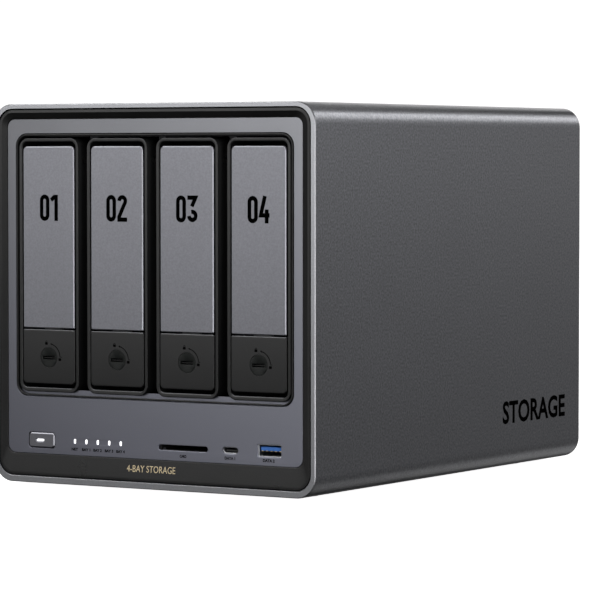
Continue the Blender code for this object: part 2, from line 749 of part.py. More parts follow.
def build_rear_panel(chassis):
    """Sheet set into the shell's back, with a slotted grille and the socket holes."""
    bm = bmesh.new()
    y = (deep(REAR_PANEL_DEPTH), deep(REAR_PANEL_DEPTH + REAR_PANEL_THICKNESS))
    add_prism(bm, "y", inner_outline(0.4, 0.4, 0.4, 7.7, 4), *y)
    panel = make("rear_panel", bm, "rear_metal", chassis)
    holes = bmesh.new()
    reach = (y[0] - 2, y[1] + 2)
    pitch, half_slot, radius = 11.0, 3.8, 64.0
    for row in range(-5, 6):
        half = math.sqrt(radius**2 - (abs(row) * pitch + half_slot) ** 2)
        height = up(FAN_CENTRE + row * pitch)
        outline = rectangle(-half, half, height - half_slot, height + half_slot)
        add_prism(holes, "y", outline, *reach)
    for name in REAR_SOCKETS:
        add_prism(holes, "y", rectangle(*socket_bounds(name, GAP)), *reach)
    add_prism(holes, "y", circle(-51, up(20), 1.0, 8), *reach)
    add_prism(holes, "y", rounded_rect(-70, -63, up(18), up(21), 1.0, 2), *reach)
    combine(panel, holes)


def build_fan(chassis):
    """Square frame with four struts to its motor plate, and the seven-bladed rotor."""
    back = REAR_PANEL_DEPTH - GAP
    front = back - FAN_THICKNESS
    strut = 4.0
    half = FAN_SIZE / 2
    centre_z = up(FAN_CENTRE)
    bm = bmesh.new()
    outline = rounded_rect(-half, half, centre_z - half, centre_z + half, 5.0, 3)
    add_prism(bm, "y", outline, deep(front), deep(back))
    frame = make("fan_frame", bm, "fan_plastic", chassis)
    bore = bmesh.new()
    add_prism(bore, "y", circle(0, centre_z, FAN_BORE, 48), deep(front - 2), deep(back - strut))
    combine(frame, bore)
    spokes = bmesh.new()
    for quarter in range(4):
        start = 90 * quarter + 4
        shape = sector(0, centre_z, 22.0, FAN_BORE - 0.5, start, start + 82, 10)
        add_prism(spokes, "y", shape, deep(back - strut - 2), deep(back + 2))
    combine(frame, spokes)

    rotor = body("fan_rotor_body", (0, deep(front), centre_z), chassis)
    hub = bmesh.new()
    profile = ((19.0, 1.5), (20.5, 3.0), (20.5, 20.0))
    sections = []
    for radius, depth in profile:
        sections.append(section("y", circle(0, centre_z, radius, 28), deep(front + depth)))
    add_loft(hub, sections)
    made = make("fan_rotor", hub, "fan_plastic", rotor)
    blades = bmesh.new()
    for blade in range(7):
        add_blade(blades, centre_z, front, 360 / 7 * blade)
    combine(made, blades, "UNION")


def add_blade(bm, centre_z, front, heading):
    """Twisted blade from inside the hub to near the bore, thin across its sweep."""
    steps, thickness = 4, 1.6
    sections = []
    for step in range(steps + 1):
        share = step / steps
        radius = 18.5 + share * (FAN_BORE - 2.5 - 18.5)
        sweep = math.radians(heading + 14 * share)
        half_turn = math.radians(20 - 3 * share)
        rise = 6.5 - 1.5 * share
        corners = []
        for side, shift in ((-1, 0), (1, 0), (1, 1), (-1, 1)):
            angle = sweep + side * half_turn
            depth = front + 11.5 + side * rise + (shift - 0.5) * thickness
            corners.append((radius * math.cos(angle), deep(depth), centre_z + radius * math.sin(angle)))
        sections.append(corners)
    add_loft(bm, sections)


def build_filter(chassis):
    """Thin mesh sheet in a flat frame, held on the rear panel by magnets."""
    front = REAR_PANEL_DEPTH + REAR_PANEL_THICKNESS + GAP
    centre_z = up(FAN_CENTRE)
    filter_body = body("filter_body", (0, deep(front), centre_z), chassis)
    bm = bmesh.new()
    half = FILTER_HALF
    outline = rounded_rect(-half, half, centre_z - half + 3, centre_z + half - 1, 6.0, 4)
    add_prism(bm, "y", outline, deep(front), deep(front + 3.2))
    sheet = make("dust_filter", bm, "filter_mesh", filter_body)
    window = bmesh.new()
    inset = half - 7
    outline = rounded_rect(-inset, inset, centre_z - inset + 3, centre_z + inset - 1, 3.0, 3)
    add_prism(window, "y", outline, deep(front + 1.0), deep(front + 6))
    combine(sheet, window)


def build_lan_ports(chassis):
    """Network sockets: metal case with the plug's cavity open at the back."""
    for name in ("lan_port_1", "lan_port_2"):
        x0, x1, z0, z1 = socket_bounds(name)
        bm = bmesh.new()
        add_box(bm, (x0, x1), (deep(SOCKET_BACK - 21), deep(SOCKET_BACK)), (z0, z1))
        port = make(name, bm, "socket_metal", chassis)
        cavity = bmesh.new()
        inside = (deep(SOCKET_BACK - 15), deep(SOCKET_BACK + 2))
        add_box(cavity, (x0 + 2.0, x1 - 2.0), inside, (z0 + 2.2, z1 - 2.6))
        combine(port, cavity)


def build_rear_usb(chassis):
    """Two sockets one above the other in one case, each with its tongue."""
    x0, x1, z0, z1 = socket_bounds("rear_usb_port")
    bm = bmesh.new()
    add_box(bm, (x0, x1), (deep(SOCKET_BACK - 17), deep(SOCKET_BACK)), (z0, z1))
    port = make("rear_usb_port", bm, "socket_metal", chassis)
    cavities = bmesh.new()
    tongues = bmesh.new()
    for low in (z0 + 1.0, z0 + 8.6):
        inside = (deep(SOCKET_BACK - 13), deep(SOCKET_BACK + 2))
        add_box(cavities, (x0 + 0.5, x1 - 0.5), inside, (low, low + 5.1))
        reach = (deep(SOCKET_BACK - 14), deep(SOCKET_BACK - 1.5))
        add_box(tongues, (x0 + 1.0, x1 - 1.0), reach, (low + 2.9, low + 4.6))
    combine(port, cavities)
    combine(port, tongues, "UNION")


def build_video_port(chassis):
    x0, x1, z0, z1 = socket_bounds("video_port")
    bm = bmesh.new()
    outline = [(x1, z1), (x0, z1), (x0, z0 + 2.2), (x0 + 1.8, z0), (x1 - 1.8, z0), (x1, z0 + 2.2)]
    add_prism(bm, "y", outline, deep(SOCKET_BACK - 12), deep(SOCKET_BACK))
    port = make("video_port", bm, "socket_metal", chassis)
    cavity = bmesh.new()
    wall = 0.5
    inner = [(x1 - wall, z1 - wall), (x0 + wall, z1 - wall), (x0 + wall, z0 + 2.4)]
    inner += [(x0 + 2.0, z0 + wall), (x1 - 2.0, z0 + wall), (x1 - wall, z0 + 2.4)]
    add_prism(cavity, "y", inner, deep(SOCKET_BACK - 10), deep(SOCKET_BACK + 2))
    combine(port, cavity)
    tongue = bmesh.new()
    depths = (deep(SOCKET_BACK - 11), deep(SOCKET_BACK - 1.2))
    add_box(tongue, (x0 + 2.2, x1 - 2.2), depths, (z0 + 2.6, z0 + 3.9))
    combine(port, tongue, "UNION")


def build_power_inlet(chassis):
    """Round jack: a barrel hole with the centre pin inside."""
    x0, x1, z0, z1 = socket_bounds("power_inlet")
    x, z = (x0 + x1) / 2, (z0 + z1) / 2
    bm = bmesh.new()
    add_box(bm, (x0, x1), (deep(SOCKET_BACK - 14), deep(SOCKET_BACK)), (z0, z1))
    inlet = make("power_inlet", bm, "socket_plastic", chassis)
    barrel = bmesh.new()
    add_prism(barrel, "y", circle(x, z, 3.2, 16), deep(SOCKET_BACK - 10), deep(SOCKET_BACK + 2))
    combine(inlet, barrel)
    pin = bmesh.new()
    add_prism(pin, "y", circle(x, z, 1.2, 10), deep(SOCKET_BACK - 11), deep(SOCKET_BACK - 1))
    combine(inlet, pin, "UNION")


def main():
    for old in list(bpy.data.objects):
        bpy.data.objects.remove(old)
    chassis = body("chassis")
    build_shell(chassis)
    build_hatch(chassis)
    build_feet(chassis)
    build_bezel(chassis)
    build_panel(chassis)
    build_bay_rim(chassis)
    build_power_button(chassis)
    build_status_lights(chassis)
    build_card_reader(chassis)
    build_usb_c(chassis)
    build_usb_a(chassis)
    build_front_board(chassis)
    build_trays(chassis)
    build_cage(chassis)
    build_backplane(chassis)
    build_main_board(chassis)
    build_rear_panel(chassis)
    build_fan(chassis)
    build_filter(chassis)
    build_lan_ports(chassis)
    build_rear_usb(chassis)
    build_video_port(chassis)
    build_power_inlet(chassis)


main()
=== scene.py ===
"""Looks of the four-bay network storage enclosure.

Lengths are in millimetres until piece() turns them into metres. Places come from the CAD frame:
+X is the right-hand side, the front faces -Y, +Z is up, and the feet stand on z = 0.
"""

import math
import random

import bmesh
import bpy
from mathutils import Matrix, Vector


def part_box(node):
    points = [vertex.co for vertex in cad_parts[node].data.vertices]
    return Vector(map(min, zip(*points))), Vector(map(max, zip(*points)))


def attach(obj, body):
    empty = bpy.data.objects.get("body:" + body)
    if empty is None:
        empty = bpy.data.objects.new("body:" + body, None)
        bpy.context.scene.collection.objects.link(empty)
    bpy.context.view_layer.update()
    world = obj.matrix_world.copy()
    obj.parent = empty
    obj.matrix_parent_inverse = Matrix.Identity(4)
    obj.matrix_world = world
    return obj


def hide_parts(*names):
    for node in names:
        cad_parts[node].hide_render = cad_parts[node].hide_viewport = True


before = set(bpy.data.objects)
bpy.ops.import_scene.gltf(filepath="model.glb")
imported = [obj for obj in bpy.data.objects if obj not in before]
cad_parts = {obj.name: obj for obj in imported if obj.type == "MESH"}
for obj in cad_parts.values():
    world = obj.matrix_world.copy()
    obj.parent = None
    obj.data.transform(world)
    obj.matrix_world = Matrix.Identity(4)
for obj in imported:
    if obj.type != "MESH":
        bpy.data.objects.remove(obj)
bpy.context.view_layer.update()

MM = 0.001
CLOUD_SCALE = 40  # slow drifts in a metal's colour and gloss, per metre
random.seed(7)


class Box:
    """A CAD node's bounds at rest, in millimetres."""

    def __init__(self, node):
        low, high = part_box(node)
        (self.x0, self.y0, self.z0), (self.x1, self.y1, self.z1) = low / MM, high / MM
        self.x, self.y, self.z = (low + high) / 2 / MM
        self.width, self.depth, self.height = (high - low) / MM


SHELL = Box("outer_shell")
PANEL = Box("front_panel")
RIM = Box("bay_rim")
PLATE = Box("tray_1_plate")
FRONT = SHELL.y0
BAYS = 4
PRINT_THICKNESS = 0.02


def deep(distance):
    """Y this far behind the shell's front edge."""
    return FRONT + distance


def behind(distance):
    """Y this far behind the front panel's face."""
    return PANEL.y0 + distance


def inward(distance):
    """Y this far behind the trays' faces."""
    return PLATE.y0 + distance


def up(height):
    """Z this far above the shell's underside."""
    return SHELL.z0 + height


# ---- outlines and profiles

class Shape:
    """A rounded rectangle across Y, which can be grown or blended with another."""

    def __init__(self, x0, x1, z0, z1, radius, low_radius=None, steps=10):
        self.values = [x0, x1, z0, z1, radius, radius if low_radius is None else low_radius]
        self.steps = steps

    def blend(self, other, share):
        mixed = [a + (b - a) * share for a, b in zip(self.values, other.values)]
        return Shape(*mixed, steps=self.steps)

    def grown(self, grow):
        x0, x1, z0, z1, high, low = self.values
        high, low = max(high + grow, 0.01), max(low + grow, 0.01)
        return Shape(x0 - grow, x1 + grow, z0 - grow, z1 + grow, high, low, self.steps)

    def points(self):
        x0, x1, z0, z1, high, low = self.values
        corners = (
            (x1 - high, z1 - high, high, 0),
            (x0 + high, z1 - high, high, 90),
            (x0 + low, z0 + low, low, 180),
            (x1 - low, z0 + low, low, 270),
        )
        found = []
        for x, z, radius, start in corners:
            for step in range(self.steps + 1):
                angle = math.radians(start + 90 * step / self.steps)
                found.append((x + radius * math.cos(angle), z + radius * math.sin(angle)))
        return found


class Disc:
    """A circle across Y, with the same calls as Shape."""

    def __init__(self, x, z, radius, steps=48):
        self.x, self.z, self.radius, self.steps = x, z, radius, steps

    def grown(self, grow):
        return Disc(self.x, self.z, self.radius + grow, self.steps)

    def points(self):
        turn = 2 * math.pi / self.steps
        return [
            (self.x + self.radius * math.cos(turn * i), self.z + self.radius * math.sin(turn * i))
            for i in range(self.steps)
        ]


def centred(x, z, width, height, radius, steps=6):
    return Shape(x - width / 2, x + width / 2, z - height / 2, z + height / 2, radius, steps=steps)


def soften(corners, steps=4):
    """Points of a profile whose corners (a, b, radius) are rounded."""
    points = []
    for i, (a, b, radius) in enumerate(corners):
        if not radius:
            points.append((a, b))
            continue
        here = Vector((a, b))
        before = Vector(corners[i - 1][:2])
        after = Vector(corners[(i + 1) % len(corners)][:2])
        start = here + (before - here).normalized() * radius
        end = here + (after - here).normalized() * radius
        for step in range(steps + 1):
            t = step / steps
            point = start * (1 - t) ** 2 + here * 2 * t * (1 - t) + end * t**2
            points.append(tuple(point))
    return points


# ---- meshes

def add_loft(bm, sections, ring=False, caps=True):
    """Skin equal sections. A ring joins the last to the first, else the ends are capped."""
    loops = [[bm.verts.new(point) for point in section] for section in sections]
    pairs = list(zip(loops, loops[1:]))
    if ring:
        pairs.append((loops[-1], loops[0]))
    for first, second in pairs:
        for i in range(len(first)):
            j = (i + 1) % len(first)
            bm.faces.new((first[i], first[j], second[j], second[i]))
    if caps and not ring:
        bm.faces.new(loops[0])
        bm.faces.new(loops[-1])
    return loops


def across(axis, outline, level):
    """Place a 2-D outline across an axis: (y, z) for x, (x, z) for y, (x, y) for z."""
    if axis == "x":
        return [(level, a, b) for a, b in outline]
    if axis == "y":
        return [(a, level, b) for a, b in outline]
    return [(a, b, level) for a, b in outline]


def add_stack(bm, levels, ring=False, axis="y"):
    """Skin shapes that each come with a level across an axis."""
    add_loft(bm, [across(axis, shape.points(), level) for shape, level in levels], ring=ring)


def add_prism(bm, axis, outline, low, high):
    add_loft(bm, [across(axis, outline, low), across(axis, outline, high)])


def add_box(bm, x, y, z):
    outline = [(x[1], z[1]), (x[0], z[1]), (x[0], z[0]), (x[1], z[0])]
    add_prism(bm, "y", outline, y[0], y[1])


def add_lathe(bm, axis, centre, profile, steps=48):
    """Turned solid: profile is (radius, level along the axis) from one end to the other."""
    add_stack(bm, [(Disc(*centre, radius, steps), level) for radius, level in profile], axis=axis)


def add_sheet(bm, edge_shape, holes, front, back, edge, steps=3):
    """Flat plate across Y with holes. Front edges are rounded by edge, back edges are square."""
    fronts, backs = [], []
    for shape, sign in [(edge_shape, 1)] + [(hole, -1) for hole in holes]:
        sections = []
        for step in range(steps + 1):
            angle = math.pi / 2 * step / steps
            grow = -edge * (1 - math.sin(angle)) * sign
            level = front + edge * (1 - math.cos(angle))
            sections.append(across("y", shape.grown(grow).points(), level))
        sections.append(across("y", shape.points(), back))
        loops = add_loft(bm, sections, caps=False)
        fronts.append(loops[0])
        backs.append(loops[-1])
    for rims in (fronts, backs):
        edges = []
        for rim in rims:
            edges += [bm.edges.get((rim[i - 1], rim[i])) for i in range(len(rim))]
        bmesh.ops.triangle_fill(bm, use_beauty=True, use_dissolve=False, edges=edges)


def add_rear_sheet(bm, edge_shape, holes, box, edge, steps=3):
    """Flat plate whose rounded edges face the back."""
    add_sheet(bm, edge_shape, holes, -box.y1, -box.y0, edge, steps)
    for vertex in bm.verts:
        vertex.co.y = -vertex.co.y


def add_collar(bm, outer, inner, wall, front, depths, radii, steps):
    """Ring between two outlines: depths are its front and back behind a face."""
    first, last = depths
    corners = [(0, last, 0), (0, first, radii), (wall, first, radii), (wall, last, 0)]
    profile = soften(corners, steps)
    add_stack(bm, [(outer.blend(inner, a / wall), front + depth) for a, depth in profile], ring=True)


def add_row(bm, middle, count, pitch, half, y, z):
    """Equal blocks in a row along X, each reaching half its width from its middle."""
    for index in range(count):
        x = middle + (index - (count - 1) / 2) * pitch
        add_box(bm, (x - half, x + half), y, z)


def to_object(name, bm, sharp=35):
    bmesh.ops.recalc_face_normals(bm, faces=bm.faces)
    bm.transform(Matrix.Scale(MM, 4))
    mesh = bpy.data.meshes.new(name)
    bm.to_mesh(mesh)
    bm.free()
    mesh.shade_smooth()
    mesh.set_sharp_from_angle(angle=math.radians(sharp))
    made = bpy.data.objects.new(name, mesh)
    bpy.context.scene.collection.objects.link(made)
    return made


def add_bevel(made, width, angle=50):
    step = made.modifiers.new("edge", "BEVEL")
    step.width = width * MM
    step.segments = 2
    step.limit_method = "ANGLE"
    step.angle_limit = math.radians(angle)
    step.harden_normals = True


def add_weighting(made):
    step = made.modifiers.new("flat_faces", "WEIGHTED_NORMAL")
    step.keep_sharp = True


def piece(name, bm, look, replaces=(), group="chassis", sharp=35, bevel=0.0):
    """A shown piece: its mesh, its material, the body it rides on and the nodes it stands for."""
    made = to_object(name, bm, sharp)
    if bevel:
        add_bevel(made, bevel)
    add_weighting(made)
    made.data.materials.append(LOOKS[look])
    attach(made, group)
    if replaces:
        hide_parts(*replaces)
    return made


def repaint(made, look, chosen):
    """Give some faces another material."""
    made.data.materials.append(LOOKS[look])
    for face in made.data.polygons:
        if chosen(face):
            face.material_index = len(made.data.materials) - 1


def carve(made, cutters):
    """Cut each bmesh out of an object and bake the result."""
    for index, bm in enumerate(cutters):
        tool = to_object(f"{made.name}_tool_{index}", bm)
        step = made.modifiers.new("cut", "BOOLEAN")
        step.operation = "DIFFERENCE"
        step.solver = "EXACT"
        step.object = tool
        bpy.context.view_layer.update()
        graph = bpy.context.evaluated_depsgraph_get()
        cut = bpy.data.meshes.new_from_object(made.evaluated_get(graph))
        made.modifiers.remove(step)
        made.data = cut
        bpy.data.objects.remove(tool)
    made.data.set_sharp_from_angle(angle=math.radians(35))


def dress(node, look, bevel):
    """Keep a CAD node as it is, with a finished material and softened edges."""
    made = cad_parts[node]
    made.data.materials.clear()
    made.data.materials.append(LOOKS[look])
    weld = made.modifiers.new("weld", "WELD")
    weld.merge_threshold = 0.01 * MM
    add_bevel(made, bevel)
    add_weighting(made)


def lettering(name, words, look, place, width, height, turn=0.0, tilt=0.0, bold=0.0):
    """Thin raised print on a face: place is the middle of the words, turn is about Z."""
    curve = bpy.data.curves.new(name, "FONT")
    curve.body = words
    curve.align_x = "CENTER"
    curve.align_y = "CENTER"
    curve.offset = bold
    curve.resolution_u = 3
    curve.extrude = PRINT_THICKNESS
    text = bpy.data.objects.new(name + "_text", curve)
    bpy.context.scene.collection.objects.link(text)
    bpy.context.view_layer.update()
    graph = bpy.context.evaluated_depsgraph_get()
    mesh = bpy.data.meshes.new_from_object(text.evaluated_get(graph))
    bpy.data.objects.remove(text)
    xs = [v.co.x for v in mesh.vertices]
    ys = [v.co.y for v in mesh.vertices]
    wide, tall = max(xs) - min(xs), max(ys) - min(ys)
    middle = Vector(((max(xs) + min(xs)) / 2, (max(ys) + min(ys)) / 2, 0))
    upright = Matrix.Rotation(math.radians(90 + tilt), 4, "X")
    size = Matrix.Diagonal((width / wide, height / tall, 1, 1))
    mesh.transform(Matrix.Translation(-middle))
    mesh.transform(Matrix.Rotation(math.radians(turn), 4, "Z") @ upright @ size)
    mesh.transform(Matrix.Scale(MM, 4) @ Matrix.Translation(Vector(place)))
    made = bpy.data.objects.new(name, mesh)
    bpy.context.scene.collection.objects.link(made)
    mesh.materials.clear()
    mesh.materials.append(LOOKS[look])
    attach(made, "chassis")


# ---- materials

def grey(level):
    return (level, level, level)


def new_look(name, slot, colour, roughness, metallic=0.0):
    made = bpy.data.materials.new(name)
    made.use_nodes = True
    made["slot"] = slot
    shader = made.node_tree.nodes["Principled BSDF"]
    shader.inputs["Base Color"].default_value = (*colour, 1.0)
    shader.inputs["Roughness"].default_value = roughness
    shader.inputs["Metallic"].default_value = metallic
    return made, made.node_tree, shader


def plug(tree, node, name, value):
    """Give an input a value or another node's output."""
    if isinstance(value, bpy.types.NodeSocket):
        tree.links.new(value, node.inputs[name])
    else:
        node.inputs[name].default_value = value


def add_node(tree, kind, inputs=None, **settings):
    node = tree.nodes.new("ShaderNode" + kind)
    for name, value in settings.items():
        setattr(node, name, value)
    for name, value in (inputs or {}).items():
        plug(tree, node, name, value)
    return node


def noise(tree, scale, detail=2.0, stretch=(1, 1, 1)):
    """A noise texture in the object's own space; scale is in grains per metre."""
    place = add_node(tree, "TexCoord").outputs["Object"]
    spot = add_node(tree, "Mapping", {"Vector": place, "Scale": stretch}).outputs["Vector"]
    texture = add_node(tree, "TexNoise", {"Vector": spot, "Scale": scale, "Detail": detail})
    return texture.outputs["Fac"]


def remap(tree, value, low, high, start, end):
    ends = {"From Min": low, "From Max": high, "To Min": start, "To Max": end}
    return add_node(tree, "MapRange", {"Value": value, **ends}).outputs["Result"]


def spread(tree, value, middle, swing):
    """Map a noise's middle range onto a swing either side of a value."""
    return remap(tree, value, 0.25, 0.75, middle - swing, middle + swing)


def ramp(tree, axis, low, high, start, end):
    """Ramp between two places along an axis of the CAD frame, in millimetres."""
    place = add_node(tree, "TexCoord").outputs["Object"]
    split = add_node(tree, "SeparateXYZ", {"Vector": place})
    return remap(tree, split.outputs[axis], low * MM, high * MM, start, end)


def tinted(tree, shader, colour, *factors):
    """Set the base colour to a colour times each factor."""
    total = factors[0]
    for factor in factors[1:]:
        total = add_node(tree, "Math", {0: total, 1: factor}, operation="MULTIPLY").outputs[0]
    scaled = add_node(tree, "VectorMath", {0: colour, "Scale": total}, operation="SCALE")
    plug(tree, shader, "Base Color", scaled.outputs["Vector"])


def bumped(tree, shader, value, height):
    """Relief from a noise; height is in millimetres."""
    bump = add_node(tree, "Bump", {"Height": value, "Distance": height * MM, "Strength": 1.0})
    plug(tree, shader, "Normal", bump.outputs["Normal"])


def blasted(name, slot, colour, roughness, grain=1500, tint=0.06, relief=0.01):
    """Bead-blasted and anodised aluminium: fine grain in colour, gloss and relief."""
    made, tree, shader = new_look(name, slot, colour, roughness, 1.0)
    fine = noise(tree, grain, 2)
    cloud = noise(tree, CLOUD_SCALE, 3)
    tinted(tree, shader, colour, spread(tree, fine, 1, tint), spread(tree, cloud, 1, 0.015))
    plug(tree, shader, "Roughness", spread(tree, cloud, roughness, 0.015))
    bumped(tree, shader, fine, relief)
    return made


def painted_shade_sheet(name, slot, low_colour, high_colour, left, right, grain, tint, relief):
    """Blasted and anodised sheet whose tint drifts with height, with painted shading across it: its
    colour is scaled from left to right, darker on one side and lighter on the other, as light falling
    across it would.
    """
    roughness = 0.40
    made, tree, shader = new_look(name, slot, low_colour, roughness, 1.0)
    fine = noise(tree, grain, 2)
    cloud = noise(tree, CLOUD_SCALE, 3)
    rise = ramp(tree, "Z", up(15), up(165), 0, 1)
    ends = {"Factor": rise, "A": (*low_colour, 1), "B": (*high_colour, 1)}
    mixed = add_node(tree, "Mix", ends, data_type="RGBA").outputs["Result"]
    # painted shade: the ramp along X stands in for light falling across the sheet
    tinted(tree, shader, mixed, spread(tree, fine, 1, tint), ramp(tree, "X", -80, 80, left, right))
    plug(tree, shader, "Roughness", spread(tree, cloud, roughness, 0.012))
    bumped(tree, shader, fine, relief)
    return made


def plastic(name, slot, colour, roughness, grain=2200, relief=0.012, specular=0.5, painted_shade_heights=None):
    """Moulded plastic with a fine spark-eroded texture; an optional pair of heights paints shade into
    the colour, darkest at the first height and full at the second.
    """
    made, tree, shader = new_look(name, slot, colour, roughness)
    shader.inputs["Specular IOR Level"].default_value = specular
    fine = noise(tree, grain, 2)
    cloud = noise(tree, 60, 3)
    factors = [spread(tree, fine, 1, 0.08), spread(tree, cloud, 1, 0.04)]
    # painted shade: the colour falls to 0.15 of itself towards the first height
    if painted_shade_heights:
        factors.append(ramp(tree, "Z", up(painted_shade_heights[0]), up(painted_shade_heights[1]), 0.15, 1.0))
    tinted(tree, shader, colour, *factors)
    plug(tree, shader, "Roughness", spread(tree, cloud, roughness, 0.03))
    bumped(tree, shader, fine, relief)
    return made


def plated(name, slot, colour, roughness, stretch=(1, 20, 1)):
    """Plated or painted sheet with faint drawing lines."""
    made, tree, shader = new_look(name, slot, colour, roughness, 1.0)
    lines = noise(tree, 300, 3, stretch)
    tinted(tree, shader, colour, spread(tree, lines, 1, 0.08))
    plug(tree, shader, "Roughness", spread(tree, lines, roughness + 0.01, 0.05))
    bumped(tree, shader, lines, 0.004)
    return made


def lit(name, slot, colour, strength):
    """White diffuser with the light behind it."""
    made, tree, shader = new_look(name, slot, colour, 0.4)
    shader.inputs["Emission Color"].default_value = (*colour, 1.0)
    glow = spread(tree, noise(tree, 900, 2), strength, strength * 0.04)
    plug(tree, shader, "Emission Strength", glow)
    return made


def solder_mask(name, slot, colour):
    """Circuit board: green mask over copper runs."""
    made, tree, shader = new_look(name, slot, colour, 0.35)
    shades = {"Color1": 1.0, "Color2": 0.85, "Mortar": 1.6}
    inputs = {key: (*[c * shade for c in colour], 1) for key, shade in shades.items()}
    inputs["Vector"] = add_node(tree, "TexCoord").outputs["Object"]
    runs = add_node(tree, "TexBrick", {"Scale": 90, "Mortar Size": 0.04, **inputs})
    plug(tree, shader, "Base Color", runs.outputs["Color"])
    bumped(tree, shader, runs.outputs["Fac"], 0.02)
    return made


LOOKS = {
    "shell": blasted("anodised_shell", "shell_metal", (0.120, 0.122, 0.132), 0.36, 1000, 0.4),
    "shell_edge": blasted("machined_edge", "shell_metal", (0.332, 0.336, 0.352), 0.36, 1300, 0.1),
    # painted shade: the panel is darker at the left (0.86) and lighter at the right (1.24)
    "panel": painted_shade_sheet(
        "anodised_panel", "panel_metal", (0.2, 0.204, 0.241), (0.2, 0.203, 0.217),
        0.86, 1.24, 1800, 0.02, 0.004
    ),
    # painted shade: the plates are a little darker towards the right (1.01 to 0.93)
    "plate": painted_shade_sheet(
        "blasted_plate", "plate_metal", (0.228, 0.230, 0.254), (0.228, 0.230, 0.252),
        1.01, 0.93, 1200, 0.1, 0.01
    ),
    "button": blasted("anodised_button", "button_metal", (0.2, 0.2, 0.22), 0.36, 1800, 0.02),
    # painted shade: the bezel is darker towards the top, where its slope faces down
    "bezel": plastic(
        "black_bezel", "bezel_plastic", grey(0.008), 0.30, 1500, 0.035, 0.37, painted_shade_heights=(150, 20)
    ),
    # painted light: a lighter copy of the bezel plastic, without its painted shade, for the top lip
    "lip": plastic("painted_light_bezel_lip", "bezel_plastic", grey(0.014), 0.30, 1500, 0.035, 0.4),
    # painted shade: the tray plastic is darker towards the bottom
    "tray": plastic(
        "black_tray", "tray_plastic", (0.014, 0.014, 0.0142), 0.36, specular=0.43, painted_shade_heights=(35, 140)
    ),
    # painted highlight: light grey for upward-facing edge faces of the tray rim and latch; the catch is
    # drawn in it too
    "highlight_grey": plastic("highlight_grey", "tray_plastic", (0.13, 0.132, 0.142), 0.4),
    "rim": plastic("black_rim", "tray_plastic", grey(0.009), 0.36, specular=0.26),
    # painted shade: the latch is darker towards its foot
    "latch": plastic(
        "black_latch", "tray_plastic", (0.016, 0.016, 0.0162), 0.36, specular=0.38, painted_shade_heights=(41, 71)
    ),
    # painted shade: dark, dull plastic for faces in recesses and gaps where shade falls
    "shade": plastic("painted_shade_plastic", "tray_plastic", grey(0.006), 0.7, specular=0.08),
    "lock": plastic("black_lock", "lock_metal", (0.004, 0.005, 0.0045), 0.42, specular=0.24),
    "dark": plastic("socket_black", "socket_plastic", grey(0.012), 0.5),
    "blue": plastic("socket_blue", "blue_plastic", (0.03, 0.13, 0.42), 0.4),
    "light": lit("lit_window", "light_plastic", (1.0, 1.0, 1.0), 1.25),
    "guide": plastic("light_guide", "light_plastic", (0.35, 0.35, 0.36), 0.35),
    "nickel": plated("nickel_sheet", "socket_metal", (0.60, 0.61, 0.63), 0.3),
    "contact": plated("gilt_contact", "socket_metal", (0.8, 0.62, 0.32), 0.28),
    "cage": blasted("coated_cage", "cage_steel", (0.06, 0.06, 0.063), 0.55, 900, 0.1),
    "board": solder_mask("green_board", "board_green", (0.012, 0.06, 0.03)),
    "chip": plastic("chip_black", "board_green", (0.015, 0.015, 0.016), 0.55),
    "sink": plated("bare_aluminium", "heat_sink_metal", (0.5, 0.5, 0.52), 0.35),
    "fan": plastic("fan_black", "fan_plastic", (0.02, 0.02, 0.021), 0.45),
    "rear": blasted("coated_rear", "rear_metal", (0.05, 0.05, 0.053), 0.5, 900, 0.1),
    "mesh": plastic("filter_black", "filter_mesh", grey(0.022), 0.6),
    "screw": plated("black_screw", "screw_steel", grey(0.16), 0.32, (1, 1, 1)),
    "rubber": plastic("foot_rubber_black", "foot_rubber", grey(0.018), 0.85, 1200, 0.03),
    "ink": plastic("black_ink", "plate_metal", grey(0.0008), 0.7, specular=0.0),
    "panel_ink": plastic("panel_ink", "panel_metal", grey(0.002), 0.7, specular=0.03),
    "gold_ink": plastic("gold_ink", "bezel_plastic", (0.55, 0.45, 0.28), 0.5),
    "dim_light": lit("dim_window", "socket_plastic", (0.25, 0.5, 0.2), 0.1),
    "rear_ink": plastic("rear_ink", "rear_metal", grey(0.5), 0.6),
}


# ---- shell

SHELL_RADIUS, OPENING_RADIUS = 9.9, 8.1
WALL_SIDE, WALL_TOP, WALL_LOW = 2.42, 2.1, 3.1
EDGE_DEPTH = 0.45
OUTER = Shape(SHELL.x0, SHELL.x1 - PRINT_THICKNESS, SHELL.z0, SHELL.z1, SHELL_RADIUS, steps=24)
INNER = Shape(
    SHELL.x0 + WALL_SIDE, SHELL.x1 - WALL_SIDE, SHELL.z0 + WALL_LOW, SHELL.z1 - WALL_TOP,
    OPENING_RADIUS, steps=24,
)


